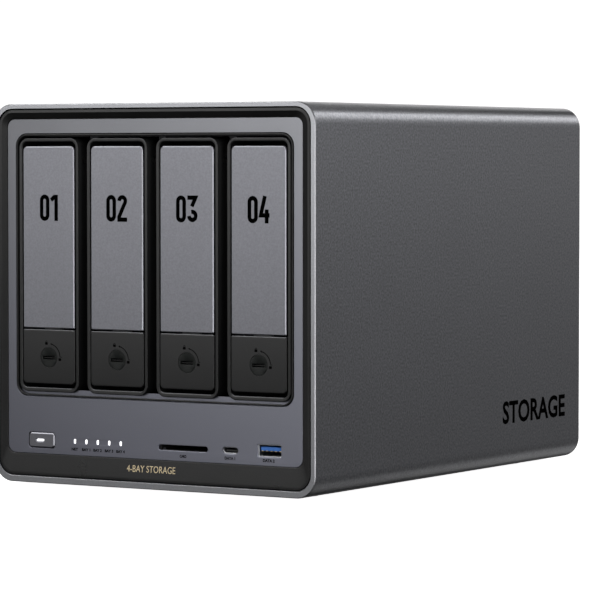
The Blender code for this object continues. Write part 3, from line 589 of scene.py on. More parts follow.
def build_shell():
    """Sleeve with a machined front edge, which is a lighter cut than the blasted outside."""
    hatch = Box("bottom_cover")
    bm = bmesh.new()
    back, middle = SHELL.y1, deep(SHELL.depth * 0.5)
    levels = [(OUTER, deep(6)), (OUTER, middle), (OUTER, back - 0.5)]
    levels += [(OUTER.grown(-0.15), back - 0.15), (OUTER.grown(-0.5), back)]
    levels += [(INNER.grown(0.3), back), (INNER, back - 0.3), (INNER, middle)]
    x0, x1, z0, z1, high, low = INNER.grown(0.06).values
    lip = Shape(x0, x1, z0 - 0.2, z1, high, low, steps=INNER.steps)
    levels += [(INNER.grown(-0.03), deep(0.3)), (lip, deep(0))]
    levels += [(OUTER.grown(-0.36), deep(0)), (OUTER.grown(-0.03), deep(0.34)), (OUTER, deep(0.5))]
    add_stack(bm, levels, ring=True)
    recess, through = bmesh.new(), bmesh.new()
    x, y = (hatch.x0 - 0.3, hatch.x1 + 0.3), (hatch.y0 - 0.3, hatch.y1 + 0.3)
    add_box(recess, x, y, (up(-1), up(1.9)))
    ledge_x, ledge_y = 6, 8
    inner_x, inner_y = (x[0] + ledge_x, x[1] - ledge_x), (y[0] + ledge_y, y[1] - ledge_y)
    add_box(through, inner_x, inner_y, (up(-1), up(5)))
    made = piece("shell_sleeve", bm, "shell", ["outer_shell"], sharp=25)
    carve(made, [recess, through])
    repaint(made, "shell_edge", lambda face: face.center.y < deep(EDGE_DEPTH) * MM)


def build_side_mark():
    """Plain generic word in black on the right-hand side, low at the back."""
    place = (SHELL.x1 - PRINT_THICKNESS, deep(208), up(27.2))
    lettering("side_mark", "STORAGE", "ink", place, 66, 11.2, turn=90, bold=0.027)


def build_underside():
    hatch = Box("bottom_cover")
    bm = bmesh.new()
    cover = Shape(hatch.x0, hatch.x1, hatch.y0, hatch.y1, 1.0, steps=4)
    screws = [Box("bottom_cover_screw_1"), Box("bottom_cover_screw_2")]
    levels = [(cover.grown(-0.25), hatch.z0), (cover, hatch.z0 + 0.25), (cover, hatch.z1)]
    add_stack(bm, levels, axis="z")
    made = piece("hatch_cover", bm, "shell", ["bottom_cover"])
    wells = bmesh.new()
    for screw in screws:
        add_prism(wells, "z", Disc(screw.x, screw.y, 3.1, 32).points(), hatch.z0 - 1, hatch.z0 + 0.9)
    vents, pitch, half_length, half_width = 9, 7.5, 30, 1.1
    for row in range(vents):
        y = hatch.y + (row - vents // 2) * pitch
        slot = Shape(-half_length, half_length, y - half_width, y + half_width, 1.05, steps=4)
        add_prism(wells, "z", slot.points(), hatch.z0 - 1, hatch.z1 + 1)
    carve(made, [wells])
    for index, screw in enumerate(screws, start=1):
        build_screw(f"hatch_screw_{index}", screw, [f"bottom_cover_screw_{index}"])
    for index in range(1, 5):
        build_foot(index)


def build_screw(name, box, replaces):
    """Domed head with a cross recess, facing down."""
    bm = bmesh.new()
    rim = box.z0 + 0.55
    profile = soften([(0.05, box.z0, 0), (2.3, box.z0, 0.3), (2.8, rim, 0), (1.3, rim, 0)])
    profile += [(1.3, box.z1)]
    add_lathe(bm, "z", (box.x, box.y), profile, 32)
    made = piece(name, bm, "screw", replaces)
    cross = bmesh.new()
    long, short = 1.5, 0.32
    half = [(long, short), (short, short), (short, long)]
    half += [(-short, long), (-short, short), (-long, short)]
    arms = half + [(-a, -b) for a, b in half]
    outline = [(box.x + a, box.y + b) for a, b in arms]
    add_prism(cross, "z", outline, box.z0 - 0.2, box.z0 + 0.45)
    carve(made, [cross])


def build_foot(index):
    """Rubber pad with a shallow ring moulded in its sole."""
    foot = Box(f"foot_{index}")
    bm = bmesh.new()
    corners = [(0.05, 0.25, 0), (4.6, 0.25, 0), (5.0, 0.0, 0), (7.4, 0.0, 0.5), (8.0, foot.z1, 0.3)]
    profile = soften(corners + [(0.05, foot.z1, 0)], 4)
    add_lathe(bm, "z", (foot.x, foot.y), profile, 48)
    piece(f"rubber_foot_{index}", bm, "rubber", [f"foot_{index}"])


# ---- bezel and panel

# The bezel has a flat lip beside the shell, then slopes in to the panel. Each is given by how far
# it reaches in from the shell at the sides and at the bottom, and by its depth.
LIP_IN, LIP_LOW, LIP_DEPTH = 1.9, 1.6, 0.3
SLOPE_IN, SLOPE_LOW, SLOPE_DEPTH = 4.7, 10.4, 1.1
PANEL_SHAPE = Shape(-80.85, 80.62, up(13.6), up(169.05), 3.9, steps=12)


def bezel_shape(inset):
    """Outline of the bezel this far in from the shell at the sides; the foot of it slopes more."""
    stops = [(0, 0, 0, OPENING_RADIUS), (LIP_IN, LIP_IN, LIP_LOW, 6.2)]
    stops.append((SLOPE_IN, SLOPE_IN, SLOPE_LOW, 4.1))
    first, second = (stops[0], stops[1]) if inset < stops[1][0] else (stops[1], stops[2])
    share = (inset - first[0]) / (second[0] - first[0])
    side, top, low, radius = [a + (b - a) * share for a, b in zip(first, second)]
    x0, x1, z0, z1 = INNER.values[:4]
    return Shape(x0 + side, x1 - side, z0 + low, z1 - top, radius, steps=16)


def build_bezel():
    """Rounded lip beside the shell, then a slope down to the panel."""
    gap, ledge, wall, back = 0.5, 4.3, 2.6, 9.7
    corners = [(gap, back, 0), (gap, LIP_DEPTH, 0.3), (LIP_IN, LIP_DEPTH, 0.12)]
    corners += [(SLOPE_IN, SLOPE_DEPTH, 0.12), (SLOPE_IN, ledge, 0), (wall, ledge, 0), (wall, back, 0)]
    bm = bmesh.new()
    levels = [(bezel_shape(inset), deep(depth)) for inset, depth in soften(corners, 5)]
    add_stack(bm, levels, ring=True)
    made = piece("bezel_frame", bm, "bezel", ["front_bezel"], sharp=60)
    # painted shade: the faces in the gap beside the shell get the dark recess plastic
    gap_rows = 4
    gap_faces = gap_rows * len(levels[0][0].points())
    repaint(made, "shade", lambda face: face.index < gap_faces)
    # painted light: the top lip's front faces get the lighter lip plastic
    repaint(made, "lip", lambda face: face.normal.y < -0.985 and face.center.z > up(172) * MM)
    slope = (SLOPE_DEPTH - LIP_DEPTH) / (SLOPE_LOW - LIP_LOW)
    height = 9.2
    depth = LIP_DEPTH + (height - WALL_LOW - LIP_LOW) * slope
    tilt = -math.degrees(math.atan(slope))
    place = (-0.15, deep(depth), up(height))
    lettering("gold_words", "4-BAY STORAGE", "gold_ink", place, 26.6, 3.1, tilt=tilt)


def window(node, grow, radius):
    box = Box(node)
    return centred(box.x, box.z, box.width + 2 * grow, box.height + 2 * grow, radius)


LIGHT_PITCH = 6.41
LIGHT_X = [-43.05 + LIGHT_PITCH * index for index in range(5)]
LIGHT_Z = up(20.15)
BUTTON = Box("power_button")
BUTTON_X, BUTTON_Z = BUTTON.x + 0.3, BUTTON.z + 0.1
USB_A = Box("usb_a_port")
USB_C = Box("usb_c_port")
CARD = Box("card_reader")
USB_A_HOLE = Shape(USB_A.x0 - 0.12, USB_A.x1 - 0.72, USB_A.z0 + 0.38, USB_A.z1 + 0.12, 0.35, steps=6)
USB_C_HOLE = Shape(USB_C.x0 - 0.12, USB_C.x1 - 0.6, USB_C.z0 + 0.15, USB_C.z1 + 0.05, 1.5, steps=6)
CARD_SLOT = centred(CARD.x, up(19.55), 26.65, 2.5, 1.2)
POWER_FACE = (14.5, 6.9)
BRIGHT_CUT = 0.22


def build_panel():
    """Front sheet. Every hole has a small bright-cut edge."""
    bay = Shape(RIM.x0 - 0.3, RIM.x1 + 0.15, RIM.z0 - 0.3, RIM.z1 + 0.3, 6.0, steps=14)
    holes = [bay, centred(BUTTON_X, BUTTON_Z, POWER_FACE[0] + 0.5, POWER_FACE[1] + 0.5, 1.7)]
    holes += [CARD_SLOT, USB_C_HOLE, USB_A_HOLE]
    holes += [centred(x, LIGHT_Z, 1.2, 2.2, 0.56) for x in LIGHT_X]
    bm = bmesh.new()
    add_sheet(bm, PANEL_SHAPE, holes, PANEL.y0, PANEL.y1, BRIGHT_CUT)
    piece("panel_sheet", bm, "panel", ["front_panel"])
    marks = [("NET", LIGHT_X[0], 16.5, 3.6, 1.35)]
    marks += [(f"BAY {bay}", LIGHT_X[bay], 16.5, 4.7, 1.35) for bay in range(1, BAYS + 1)]
    marks += [("CARD", CARD_SLOT.values[0] + 13.3, 15.9, 3.6, 1.4)]
    marks += [("DATA 1", USB_C.x - 0.5, 16.2, 5.6, 1.4), ("DATA 2", USB_A.x - 0.7, 16.05, 6.2, 1.4)]
    for word, x, z, width, height in marks:
        name = "print_" + word.replace(" ", "_").lower()
        lettering(name, word, "panel_ink", (x, PANEL.y0, up(z)), width, height, bold=0.05)


def build_bay_liner():
    wall = 0.8
    outer = Shape(RIM.x0, RIM.x1 - 0.1, RIM.z0, RIM.z1, 5.7, steps=14)
    inner = Shape(RIM.x0 + wall, RIM.x1 - 0.9, RIM.z0 + wall, RIM.z1 - wall, 5.1, steps=14)
    bm = bmesh.new()
    add_collar(bm, outer, inner, wall, RIM.y0, (0, 9), 0.35, 5)
    piece("bay_liner", bm, "rim", ["bay_rim"], sharp=60)


# ---- front controls and sockets

def build_power_button():
    face = centred(BUTTON_X, BUTTON_Z, *POWER_FACE, 1.45)
    slot = centred(BUTTON_X - 0.75, BUTTON_Z, 3.9, 0.9, 0.44)
    bm = bmesh.new()
    add_sheet(bm, face, [slot], behind(-0.35), behind(1.6), 0.5, 1)
    piece("button_cap", bm, "button", ["power_button"], "power_button_body")
    flange = bmesh.new()
    wide = centred(BUTTON_X, BUTTON_Z, POWER_FACE[0] + 1.6, POWER_FACE[1] + 1.6, 1.8)
    add_sheet(flange, wide, [slot], behind(1.8), behind(3.2), 0.1)
    piece("button_flange", flange, "dark", group="power_button_body")
    light = bmesh.new()
    add_sheet(light, slot.grown(-0.03), [], behind(-0.25), behind(1.6), 0.1)
    piece("button_light", light, "light", ["power_light"], "power_button_body")


def build_status_lights():
    bm = bmesh.new()
    for x in LIGHT_X:
        add_sheet(bm, centred(x, LIGHT_Z, 1.14, 2.14, 0.54), [], behind(0.15), behind(3.0), 0.15)
    piece("status_windows", bm, "light")
    bar = Box("status_light_guide")
    bm = bmesh.new()
    add_box(bm, (bar.x0, bar.x1), (behind(3.02), bar.y1), (bar.z0, bar.z1))
    piece("status_light_bar", bm, "guide", ["status_light_guide"], bevel=0.1)


def build_usb_a():
    """Folded sleeve, blue tongue with its base and contacts, and the sprung tabs in the floor."""
    bm = bmesh.new()
    outer = USB_A_HOLE.grown(-0.05)
    inner = Shape(USB_A.x0 + 0.5, USB_A.x1 - 0.92, USB_A.z0 + 0.8, USB_A.z1 - 0.12, 0.2, steps=6)
    add_collar(bm, outer, inner, 0.4, PANEL.y0, (0.5, 15), 0.1, 3)
    piece("usb_a_sleeve", bm, "nickel", ["usb_a_port"], sharp=50)

    tongue = Box("usb_a_tongue")
    bm = bmesh.new()
    top, low = tongue.z1 - 0.45, tongue.z1 - 2.15
    add_box(bm, (tongue.x0 + 0.4, tongue.x1), (tongue.y0, behind(12.5)), (low, top))
    piece("usb_a_insulator", bm, "blue", ["usb_a_tongue"], bevel=0.12)
    bm = bmesh.new()
    add_box(bm, (tongue.x0, tongue.x1), (behind(12.52), tongue.y1), (tongue.z0, tongue.z1))
    piece("usb_a_base", bm, "dark", bevel=0.12)
    bm = bmesh.new()
    add_row(bm, tongue.x, 5, 2.3, 0.5, (tongue.y0 - 0.06, behind(11)), (low - 0.3, low + 0.02))
    piece("usb_a_contacts", bm, "contact", bevel=0.06)
    bm = bmesh.new()
    add_row(bm, tongue.x, 2, 6.2, 1.1, (behind(3), behind(8)), (tongue.z0 - 0.15, tongue.z0 + 0.3))
    piece("usb_a_springs", bm, "cage", bevel=0.15)


def build_usb_c():
    bm = bmesh.new()
    outer = USB_C_HOLE.grown(-0.05)
    inner = Shape(USB_C.x0 + 0.4, USB_C.x1 - 0.78, USB_C.z0 + 0.6, USB_C.z1 - 0.12, 1.1, steps=6)
    add_collar(bm, outer, inner, 0.3, PANEL.y0, (0.5, 10), 0.1, 3)
    piece("usb_c_sleeve", bm, "nickel", ["usb_c_port"], sharp=50)
    bm = bmesh.new()
    x, z = USB_C.x, USB_C.z
    add_box(bm, (x - 3.3, x + 3.3), (behind(1.6), behind(9.5)), (z - 0.35, z + 0.35))
    add_box(bm, (x - 3.9, x + 3.9), (behind(9.52), behind(9.9)), (z - 1.1, z + 1.1))
    piece("usb_c_tongue", bm, "dark", bevel=0.1)


def build_card_slot():
    """Black reader body with a guide wall inside the slot and its row of contacts."""
    box = Box("card_reader")
    dress("card_reader", "dark", 0.2)
    bm = bmesh.new()
    add_row(bm, box.x, 8, 2.6, 0.5, (behind(9), behind(23)), (up(20.3), up(20.5)))
    piece("card_contacts", bm, "contact", bevel=0.05)
    bm = bmesh.new()
    add_box(bm, (box.x0 + 3.2, box.x0 + 4.4), (behind(2.2), behind(17)), (up(18.5), up(19.3)))
    piece("card_guide", bm, "cage", bevel=0.08)


# ---- numbers and marks

def arc(x, z, radius, start, end, steps=10):
    points = []
    for step in range(steps + 1):
        angle = math.radians(start + (end - start) * step / steps)
        points.append((x + radius * math.cos(angle), z + radius * math.sin(angle)))
    return points


def add_stroke(bm, points, width, front, back, closed=False):
    """Flat stroke of constant width along a line, as a thin plate."""
    count = len(points)
    left, right = [], []
    for i, point in enumerate(points):
        here = Vector(point)
        before = Vector(points[i - 1]) if (i or closed) else None
        after = Vector(points[(i + 1) % count]) if (i < count - 1 or closed) else None
        incoming = (here - before).normalized() if before is not None else (after - here).normalized()
        outgoing = (after - here).normalized() if after is not None else incoming
        tangent = (incoming + outgoing).normalized()
        normal = Vector((-tangent.y, tangent.x))
        reach = width / 2 / max(normal.dot(Vector((-incoming.y, incoming.x))), 0.5)
        left.append(here + normal * reach)
        right.append(here - normal * reach)
    sections = []
    for a, b in zip(left, right):
        sections.append([(a.x, front, a.y), (b.x, front, b.y), (b.x, back, b.y), (a.x, back, a.y)])
    add_loft(bm, sections, ring=closed)


DIGIT_HEIGHT = 12.2
DIGIT_WIDTH = 5.4
STROKE = 1.95
DIGIT_Z = up(121.9)


def digit_strokes(digit):
    """Centre lines of a narrow numeral, from a corner at (0, 0)."""
    half = STROKE / 2
    left, right, low, high = half, DIGIT_WIDTH - half, half, DIGIT_HEIGHT - half
    radius = (right - left) / 2
    middle = (left + right) / 2
    if digit == 0:
        line = arc(middle, high - radius, radius, 0, 180) + arc(middle, low + radius, radius, 180, 360)
        return [(line, True)]
    if digit == 1:
        stem = middle + 0.4
        flag = [(0.2, high - 1.6), (stem - half, high - 0.1)]
        return [(flag + [(stem, high - 0.1), (stem, 0)], False)]
    if digit == 2:
        bowl = arc(middle, high - radius, radius, 180, -20)
        foot = [(left - half, low), (right + half, low)]
        return [(bowl + [(left, low + 1.3), (left, low)], False), (foot, False)]
    if digit == 3:
        bowl = arc(middle, low + radius + 0.3, radius + 0.1, 110, -180, 14)
        beak = [(left - half, high), (right, high), (middle - 0.3, high - 4.0)]
        return [(beak, False), (bowl, False)]
    slant = [(middle + 0.3, high + half), (left - 0.2, low + 2.6), (right + half, low + 2.6)]
    return [(slant, False), ([(right - 0.5, low + 5.2), (right - 0.5, 0)], False)]


def build_number(index, plate):
    """Two printed numerals, centred on the plate's upper half."""
    bm = bmesh.new()
    gap = 0.75
    advance = DIGIT_WIDTH + gap
    total = advance + (3.6 if index == 1 else DIGIT_WIDTH)
    front, back = plate.y0 - PRINT_THICKNESS, plate.y0 + 0.03
    for place, digit in enumerate((0, index)):
        for line, closed in digit_strokes(digit):
            x = plate.x - total / 2 + place * advance
            add_stroke(bm, [(x + a, DIGIT_Z + b) for a, b in line], STROKE, front, back, closed)
            front -= 0.002
    piece(f"number_{index}", bm, "ink", group=f"handle_{index}")


def build_lock_marks(index, x, z, front):
    """Arc from locked to open round the key, with a small padlock at each end."""
    bm = bmesh.new()
    back = front + 0.05
    front -= 0.015
    add_stroke(bm, arc(x, z, 6.3, 76, 5, 16), 0.4, front, back)
    tip = [(x + 1.55, z + 6.65), (x + 1.55, z + 5.65), (x + 0.75, z + 6.3)]
    add_prism(bm, "y", tip, front, back)
    for px, pz, lift in ((x - 1.4, z + 6.45, 0.0), (x + 6.2, z - 0.9, 0.5)):
        add_prism(bm, "y", centred(px, pz, 1.5, 1.2, 0.2, 2).points(), front, back)
        add_stroke(bm, arc(px + lift, pz + 0.75 + lift * 0.3, 0.42, 180, 0, 6), 0.24, front, back)
    piece(f"lock_marks_{index}", bm, "ink", group=f"latch_{index}")


# ---- trays

POCKET_DEPTH = 13.0
HINGE = (deep(7.05), up(150.0))
HINGE_HOLE, HINGE_PIN = 1.45, 1.27
LATCH_TOP = 71.4


def build_tray(index):
    plate = Box(f"tray_{index}_plate")
    build_tray_frame(index, Box(f"tray_{index}_frame"), plate)
    build_handle(index, plate)
    build_latch(index)


def build_tray_frame(index, box, plate):
    """Carrier with a rounded rim round the handle pocket and an open trough for the drive."""
    outer = Shape(box.x0, box.x1, box.z0, box.z1 - 0.25, 4.5, steps=10)
    inner = Shape(plate.x0 - 0.5, plate.x1 + 0.5, box.z0 + 1.9, box.z1 - 1.8, 2.7, steps=10)
    width = 1.85
    corners = [(0, 60, 0), (0, 0, 0.4), (width, 0.1, 0.6), (width, 0.8, 0)]
    bm = bmesh.new()
    levels = [(outer, box.y1)]
    for offset, depth in soften(corners, 6)[:-1]:
        levels.append((outer.blend(inner, offset / width), inward(depth)))
    add_stack(bm, levels + [(inner, deep(POCKET_DEPTH))])
    made = piece(f"tray_{index}_carrier", bm, "tray", [f"tray_{index}_frame"], f"tray_{index}")

    drive = (up(50.2), up(152.8))
    trough = bmesh.new()
    add_box(trough, (box.x0 + 3, box.x1 + 3), (deep(15.5), box.y1 + 5), drive)
    openings = bmesh.new()
    for low in (62, 92, 122):
        vent = Shape(deep(35), deep(150), up(low), up(low + 18), 4, steps=4)
        add_prism(openings, "x", vent.points(), box.x0 - 2, box.x0 + 4)
    for side in (-1, 1):
        for low in range(84, 140, 7):
            x = plate.x + side * 7.0
            shape = Shape(x - 4.5, x + 4.5, up(low), up(low + 4), 1.5, steps=3)
            add_prism(openings, "y", shape.points(), deep(POCKET_DEPTH - 1), deep(17))
    hole = Disc(*HINGE, HINGE_HOLE, 24).points()
    add_prism(openings, "x", hole, box.x0 - 1, plate.x0 - 0.2)
    add_prism(openings, "x", hole, plate.x1 + 0.2, box.x1 + 1)
    grooves = bmesh.new()
    for z in (box.z0 + 3.6, box.z1 - 3.6):
        add_box(grooves, (box.x0 - 2, box.x0 + 1.0), (deep(20), box.y1 + 2), (z - 1.4, z + 1.4))
    carve(made, [trough, openings, grooves])

    def in_pocket(face):
        x, y, z = face.center / MM
        inside = abs(x - plate.x) < PLATE.width / 2 + 0.6 and box.z0 + 1.5 < z < box.z1 - 1.0
        return inside and inward(0.75) < y < deep(POCKET_DEPTH + 0.1)

    def on_low_rim(face):
        forward = face.normal.z > 0.7 and face.normal.y < -0.1
        return forward and face.center.y < inward(0.7) * MM

    # painted shade: the pocket's inner faces get the dark recess plastic
    repaint(made, "shade", in_pocket)
    # painted highlight: the low rim's upward-facing faces get the light grey
    repaint(made, "highlight_grey", on_low_rim)
    bm = bmesh.new()
    for y in (deep(45), deep(86.6), deep(146)):
        for z, away in ((drive[0] + 0.02, -1), (drive[1] - 0.02, 1)):
            add_lathe(bm, "z", (plate.x + 2, y), [(1.9, z), (1.9, z + away * 0.5)], 20)
    piece(f"tray_{index}_drive_pegs", bm, "nickel", group=f"tray_{index}")


def build_handle(index, plate):
    """Blasted plate with a bright cut edge, on its black lever."""
    x0, x1, z0, z1 = plate.x0 + 0.12, plate.x1 - 0.3, plate.z0 - 0.1, plate.z1 - 0.25
    bm = bmesh.new()
    levels = []
    for side, top, depth in ((0.38, 0.42, 0), (0, 0, 0.38), (0, 0, 1.2)):
        shape = Shape(x0 + side, x1 - side, z0 + side, z1 - top, 2.0 - side, 0.45, steps=8)
        levels.append((shape, inward(depth)))
    add_stack(bm, levels)
    group = f"handle_{index}"
    piece(f"tray_{index}_face", bm, "plate", [f"tray_{index}_plate"], group, sharp=20)
    build_number(index, plate)
    dress(f"tray_{index}_lever", "tray", 0.3)
    pins = bmesh.new()
    lever = Box(f"tray_{index}_lever")
    for x0, x1 in ((lever.x0 - 0.02, lever.x0 + 0.5), (lever.x1 - 0.5, lever.x1 + 0.02)):
        add_prism(pins, "x", Disc(*HINGE, HINGE_PIN, 24).points(), x0, x1)
    piece(f"tray_{index}_pins", pins, "screw", group=group, bevel=0.1)


def build_latch(index):
    """Black press latch with a softened edge, a raked foot and its catch behind the lever."""
    latch = Box(f"tray_{index}_latch")
    lock = Box(f"tray_{index}_lock")
    shape = Shape(latch.x0, latch.x1, latch.z0, up(LATCH_TOP), 0.7, 2.0, steps=8)
    bm = bmesh.new()
    profile = soften([(1.2, 0, 0), (0, 0, 0.42), (0, 2.1, 0)], 4)
    x0, x1, z0, z1, top, low = shape.values
    raked = Shape(x0, x1, z0 + 2.6, z1, top, low, steps=8)
    levels = [(shape.grown(-offset), inward(depth)) for offset, depth in profile]
    add_stack(bm, levels + [(raked, inward(5.5))])
    made = piece(f"tray_{index}_latch_cap", bm, "latch", [f"tray_{index}_latch"], f"latch_{index}")
    bore = bmesh.new()
    add_prism(bore, "y", Disc(lock.x, lock.z, 4.78, 48).points(), inward(-1), inward(9))
    carve(made, [bore])
    add_bevel(made, 0.05, 60)

    def on_top_edge(face):
        forward = face.normal.z > 0.45 and face.normal.y < -0.2
        return forward and face.center.y < inward(0.45) * MM

    # painted highlight: the latch's upward-facing top edge gets the light grey
    repaint(made, "highlight_grey", on_top_edge)
    catch = bmesh.new()
    add_box(catch, (latch.x - 4.9, latch.x + 4.5), (inward(3.4), inward(5.9)), (up(68), latch.z1))
    piece(f"tray_{index}_catch", catch, "highlight_grey", group=f"latch_{index}", bevel=0.3)
    build_lock_marks(index, lock.x, lock.z, inward(0))
    build_lock(index, lock)


def build_lock(index, lock):
    """Key cylinder with a wide slot and the dark ward inside it."""
    bm = bmesh.new()
    corners = [(0.05, 0.05, 0), (4.68, 0.05, 0.08), (4.68, 6.3, 0)]
    profile = [(radius, inward(depth)) for radius, depth in soften(corners, 3)]
    add_lathe(bm, "y", (lock.x, lock.z), profile, 56)
    made = piece(f"tray_{index}_key_lock", bm, "lock", [f"tray_{index}_lock"], f"lock_{index}")
    slot = bmesh.new()
    add_box(slot, (lock.x - 3.5, lock.x + 3.1), (inward(-2), inward(3.6)), (lock.z - 1.0, lock.z + 0.6))
    carve(made, [slot])
    add_bevel(made, 0.1, 60)
    wards = bmesh.new()
    y, z = (inward(0.9), inward(3.5)), (lock.z - 0.35, lock.z - 0.05)
    add_box(wards, (lock.x - 3.45, lock.x + 3.05), y, z)
    piece(f"tray_{index}_key_ward", wards, "dark", group=f"lock_{index}", bevel=0.08)


# ---- inside and rear

def build_inside():
    dress("drive_cage", "cage", 0.3)
    for node in ("backplane_board", "main_board", "front_io_board", "memory_module", "ssd_module"):
        dress(node, "board", 0.1)
    dress("heat_sink", "sink", 0.2)
    bm = bmesh.new()
    board = Box("main_board")
    for row in range(5):
        for column in range(6):
            x = -66 + column * 26 + random.uniform(-4, 4)
            y = deep(64 + row * 11 + random.uniform(-2, 2))
            size = random.uniform(2, 5)
            height = random.uniform(0.8, 3)
            add_box(bm, (x, x + size), (y, y + size), (board.z1 - 0.01, board.z1 + height))
    piece("board_parts", bm, "chip", bevel=0.15)
    for index in range(1, 5):
        connector = Box(f"drive_connector_{index}")
        dress(f"drive_connector_{index}", "dark", 0.2)
        bm = bmesh.new()
        x = (connector.x - 0.5, connector.x + 0.3)
        y = (connector.y0 + 0.4, connector.y0 + 7.05)
        for step in range(15):
            z = connector.z0 + 4 + step * 2.4
            add_box(bm, x, y, (z, z + 0.9))
        piece(f"drive_contacts_{index}", bm, "contact", bevel=0.05)


REAR = Box("rear_panel")
REAR_SOCKETS = ("power_inlet", "video_port", "rear_usb_port", "lan_port_1", "lan_port_2")
REAR_WORDS = ("12 V", "VIDEO", "DATA", "NET 1", "NET 2")
FAN = Box("fan_frame")
FAN_HOLE = 62.5
HUB_RADIUS, BLADE_REACH = 19.5, 63.9
BLADES = 7
FILTER_RIM = 7.0


def build_rear_panel():
    """Coated sheet with a round field of slots over the fan and a hole for each socket."""
    shape = Shape(REAR.x0, REAR.x1, REAR.z0, REAR.z1, 7.7, steps=12)
    holes = [window(name, 0.3, 0.5) for name in REAR_SOCKETS]
    holes += [Disc(-51, up(20), 1.0, 16), Shape(-70, -63, up(18), up(21), 1.0, steps=4)]
    pitch, half_slot, radius, last, half_bar = 5.5, 1.9, 64.0, 11, 1.2
    for row in range(-last, last + 1):
        z, half = FAN.z + row * pitch, 16
        if abs(row) < last:
            half = math.sqrt(radius**2 - (abs(row) * pitch + half_slot) ** 2)
        for x0, x1 in ((-half, -half_bar), (half_bar, half)):
            holes.append(Shape(x0, x1, z - half_slot, z + half_slot, 1.8, steps=4))
    bm = bmesh.new()
    add_rear_sheet(bm, shape, holes, REAR, 0.15, 2)
    piece("rear_sheet", bm, "rear", ["rear_panel"])


def build_rear_sockets():
    for name in REAR_SOCKETS:
        dress(name, "dark" if name == "power_inlet" else "nickel", 0.15)
    for index in (1, 2):
        port = Box(f"lan_port_{index}")
        bm = bmesh.new()
        y, z = (port.y1 - 13, port.y1 - 3), (port.z1 - 2.95, port.z1 - 2.7)
        add_row(bm, port.x, 8, 1.1, 0.25, y, z)
        piece(f"lan_contacts_{index}", bm, "contact", bevel=0.05)
        bm = bmesh.new()
        y, z = (port.y1 - 0.6, port.y1 + 0.05), (port.z1 - 2.0, port.z1 - 0.7)
        add_row(bm, port.x, 2, port.width - 3.2, 1.0, y, z)
        piece(f"lan_lights_{index}", bm, "dim_light", bevel=0.1)
    usb = Box("rear_usb_port")
    bm = bmesh.new()
    for low in (usb.z0 + 1.0, usb.z0 + 8.6):
        add_row(bm, usb.x, 4, 2.4, 0.5, (usb.y1 - 11, usb.y1 - 2.2), (low + 2.76, low + 2.92))
    piece("rear_usb_contacts", bm, "contact", bevel=0.04)
    for name, word in zip(REAR_SOCKETS, REAR_WORDS):
        place = (Box(name).x, REAR.y1 + 0.01, up(10.6))
        lettering(f"rear_print_{name}", word, "rear_ink", place, 1.6 * len(word), 1.9, turn=180)


def build_fan():
    dress("fan_frame", "fan", 0.4)
    rotor = Box("fan_rotor")
    bm = bmesh.new()
    front = rotor.y0
    corners = [(0.05, front, 0), (19.4, front, 1.2), (20.5, front + 2.5, 0.8), (20.5, rotor.y1, 0.3)]
    profile = soften(corners + [(0.05, rotor.y1, 0)], 5)
    add_lathe(bm, "y", (0, FAN.z), profile, 64)
    for blade in range(BLADES):
        add_blade(bm, 360 / BLADES * blade)
    piece("fan_impeller", bm, "fan", ["fan_rotor"], "fan_rotor_body", sharp=50)
    bm = bmesh.new()
    for x in (-FAN_HOLE, FAN_HOLE):
        for z in (FAN.z - FAN_HOLE, FAN.z + FAN_HOLE):
            head = ((0.05, 1.9), (2.0, 1.9), (3.0, 1.2), (3.4, 0.02), (0.05, 0.02))
            add_lathe(bm, "y", (x, z), [(radius, REAR.y1 + rise) for radius, rise in head], 24)
    piece("fan_screws", bm, "screw")


def add_blade(bm, heading):
    """Curved, twisted blade from the hub to near the bore."""
    steps, chord_steps, thickness = 10, 8, 1.4
    rotor = Box("fan_rotor")
    middle = rotor.y0 + 10.0
    sections = []
    for step in range(steps + 1):
        share = step / steps
        radius = HUB_RADIUS + share * (BLADE_REACH - HUB_RADIUS)
        sweep = math.radians(heading + 14 * share**1.3)
        half_turn = math.radians(20 - 3.4 * share)
        rise = 6.3 - 1.6 * share
        near, far = [], []
        for chord in range(chord_steps + 1):
            side = chord / chord_steps * 2 - 1
            angle = sweep + side * half_turn
            camber = 1.2 * (1 - side**2)
            half = thickness / 2 * math.sqrt(max(1 - side**2, 0.05))
            depth = middle + side * rise - camber
            for row, shift in ((near, -half), (far, half)):
                row.append((radius * math.cos(angle), depth + shift, FAN.z + radius * math.sin(angle)))
        sections.append(near + far[::-1])
    add_loft(bm, sections)


def build_filter():
    """Flat frame with a woven mesh across it."""
    box = Box("dust_filter")
    outer = Shape(box.x0, box.x1, box.z0, box.z1, 6.0, steps=10)
    inner = outer.grown(-FILTER_RIM)
    bm = bmesh.new()
    add_rear_sheet(bm, outer, [inner], box, 0.5)
    piece("filter_frame", bm, "mesh", ["dust_filter"], "filter_body")
    bm = bmesh.new()
    pitch, wire = 2.4, 0.55
    tucked = FILTER_RIM - 0.5
    half_x, half_z = box.width / 2 - tucked, box.height / 2 - tucked
    level = box.y0 + 0.6
    for count, half, other, turned in (
        (int(2 * half_x / pitch), half_x, half_z, False),
        (int(2 * half_z / pitch), half_z, half_x, True),
    ):
        for index in range(count + 1):
            at = -half + pitch * index + (2 * half - count * pitch) / 2
            low, high = at - wire / 2, at + wire / 2
            depth = (level + 0.35, level + 0.8) if turned else (level, level + 0.45)
            if turned:
                add_box(bm, (-other, other), depth, (box.z + low, box.z + high))
            else:
                add_box(bm, (box.x + low, box.x + high), depth, (box.z - other, box.z + other))
    piece("filter_weave", bm, "mesh", group="filter_body")


# ---- stage, light and camera

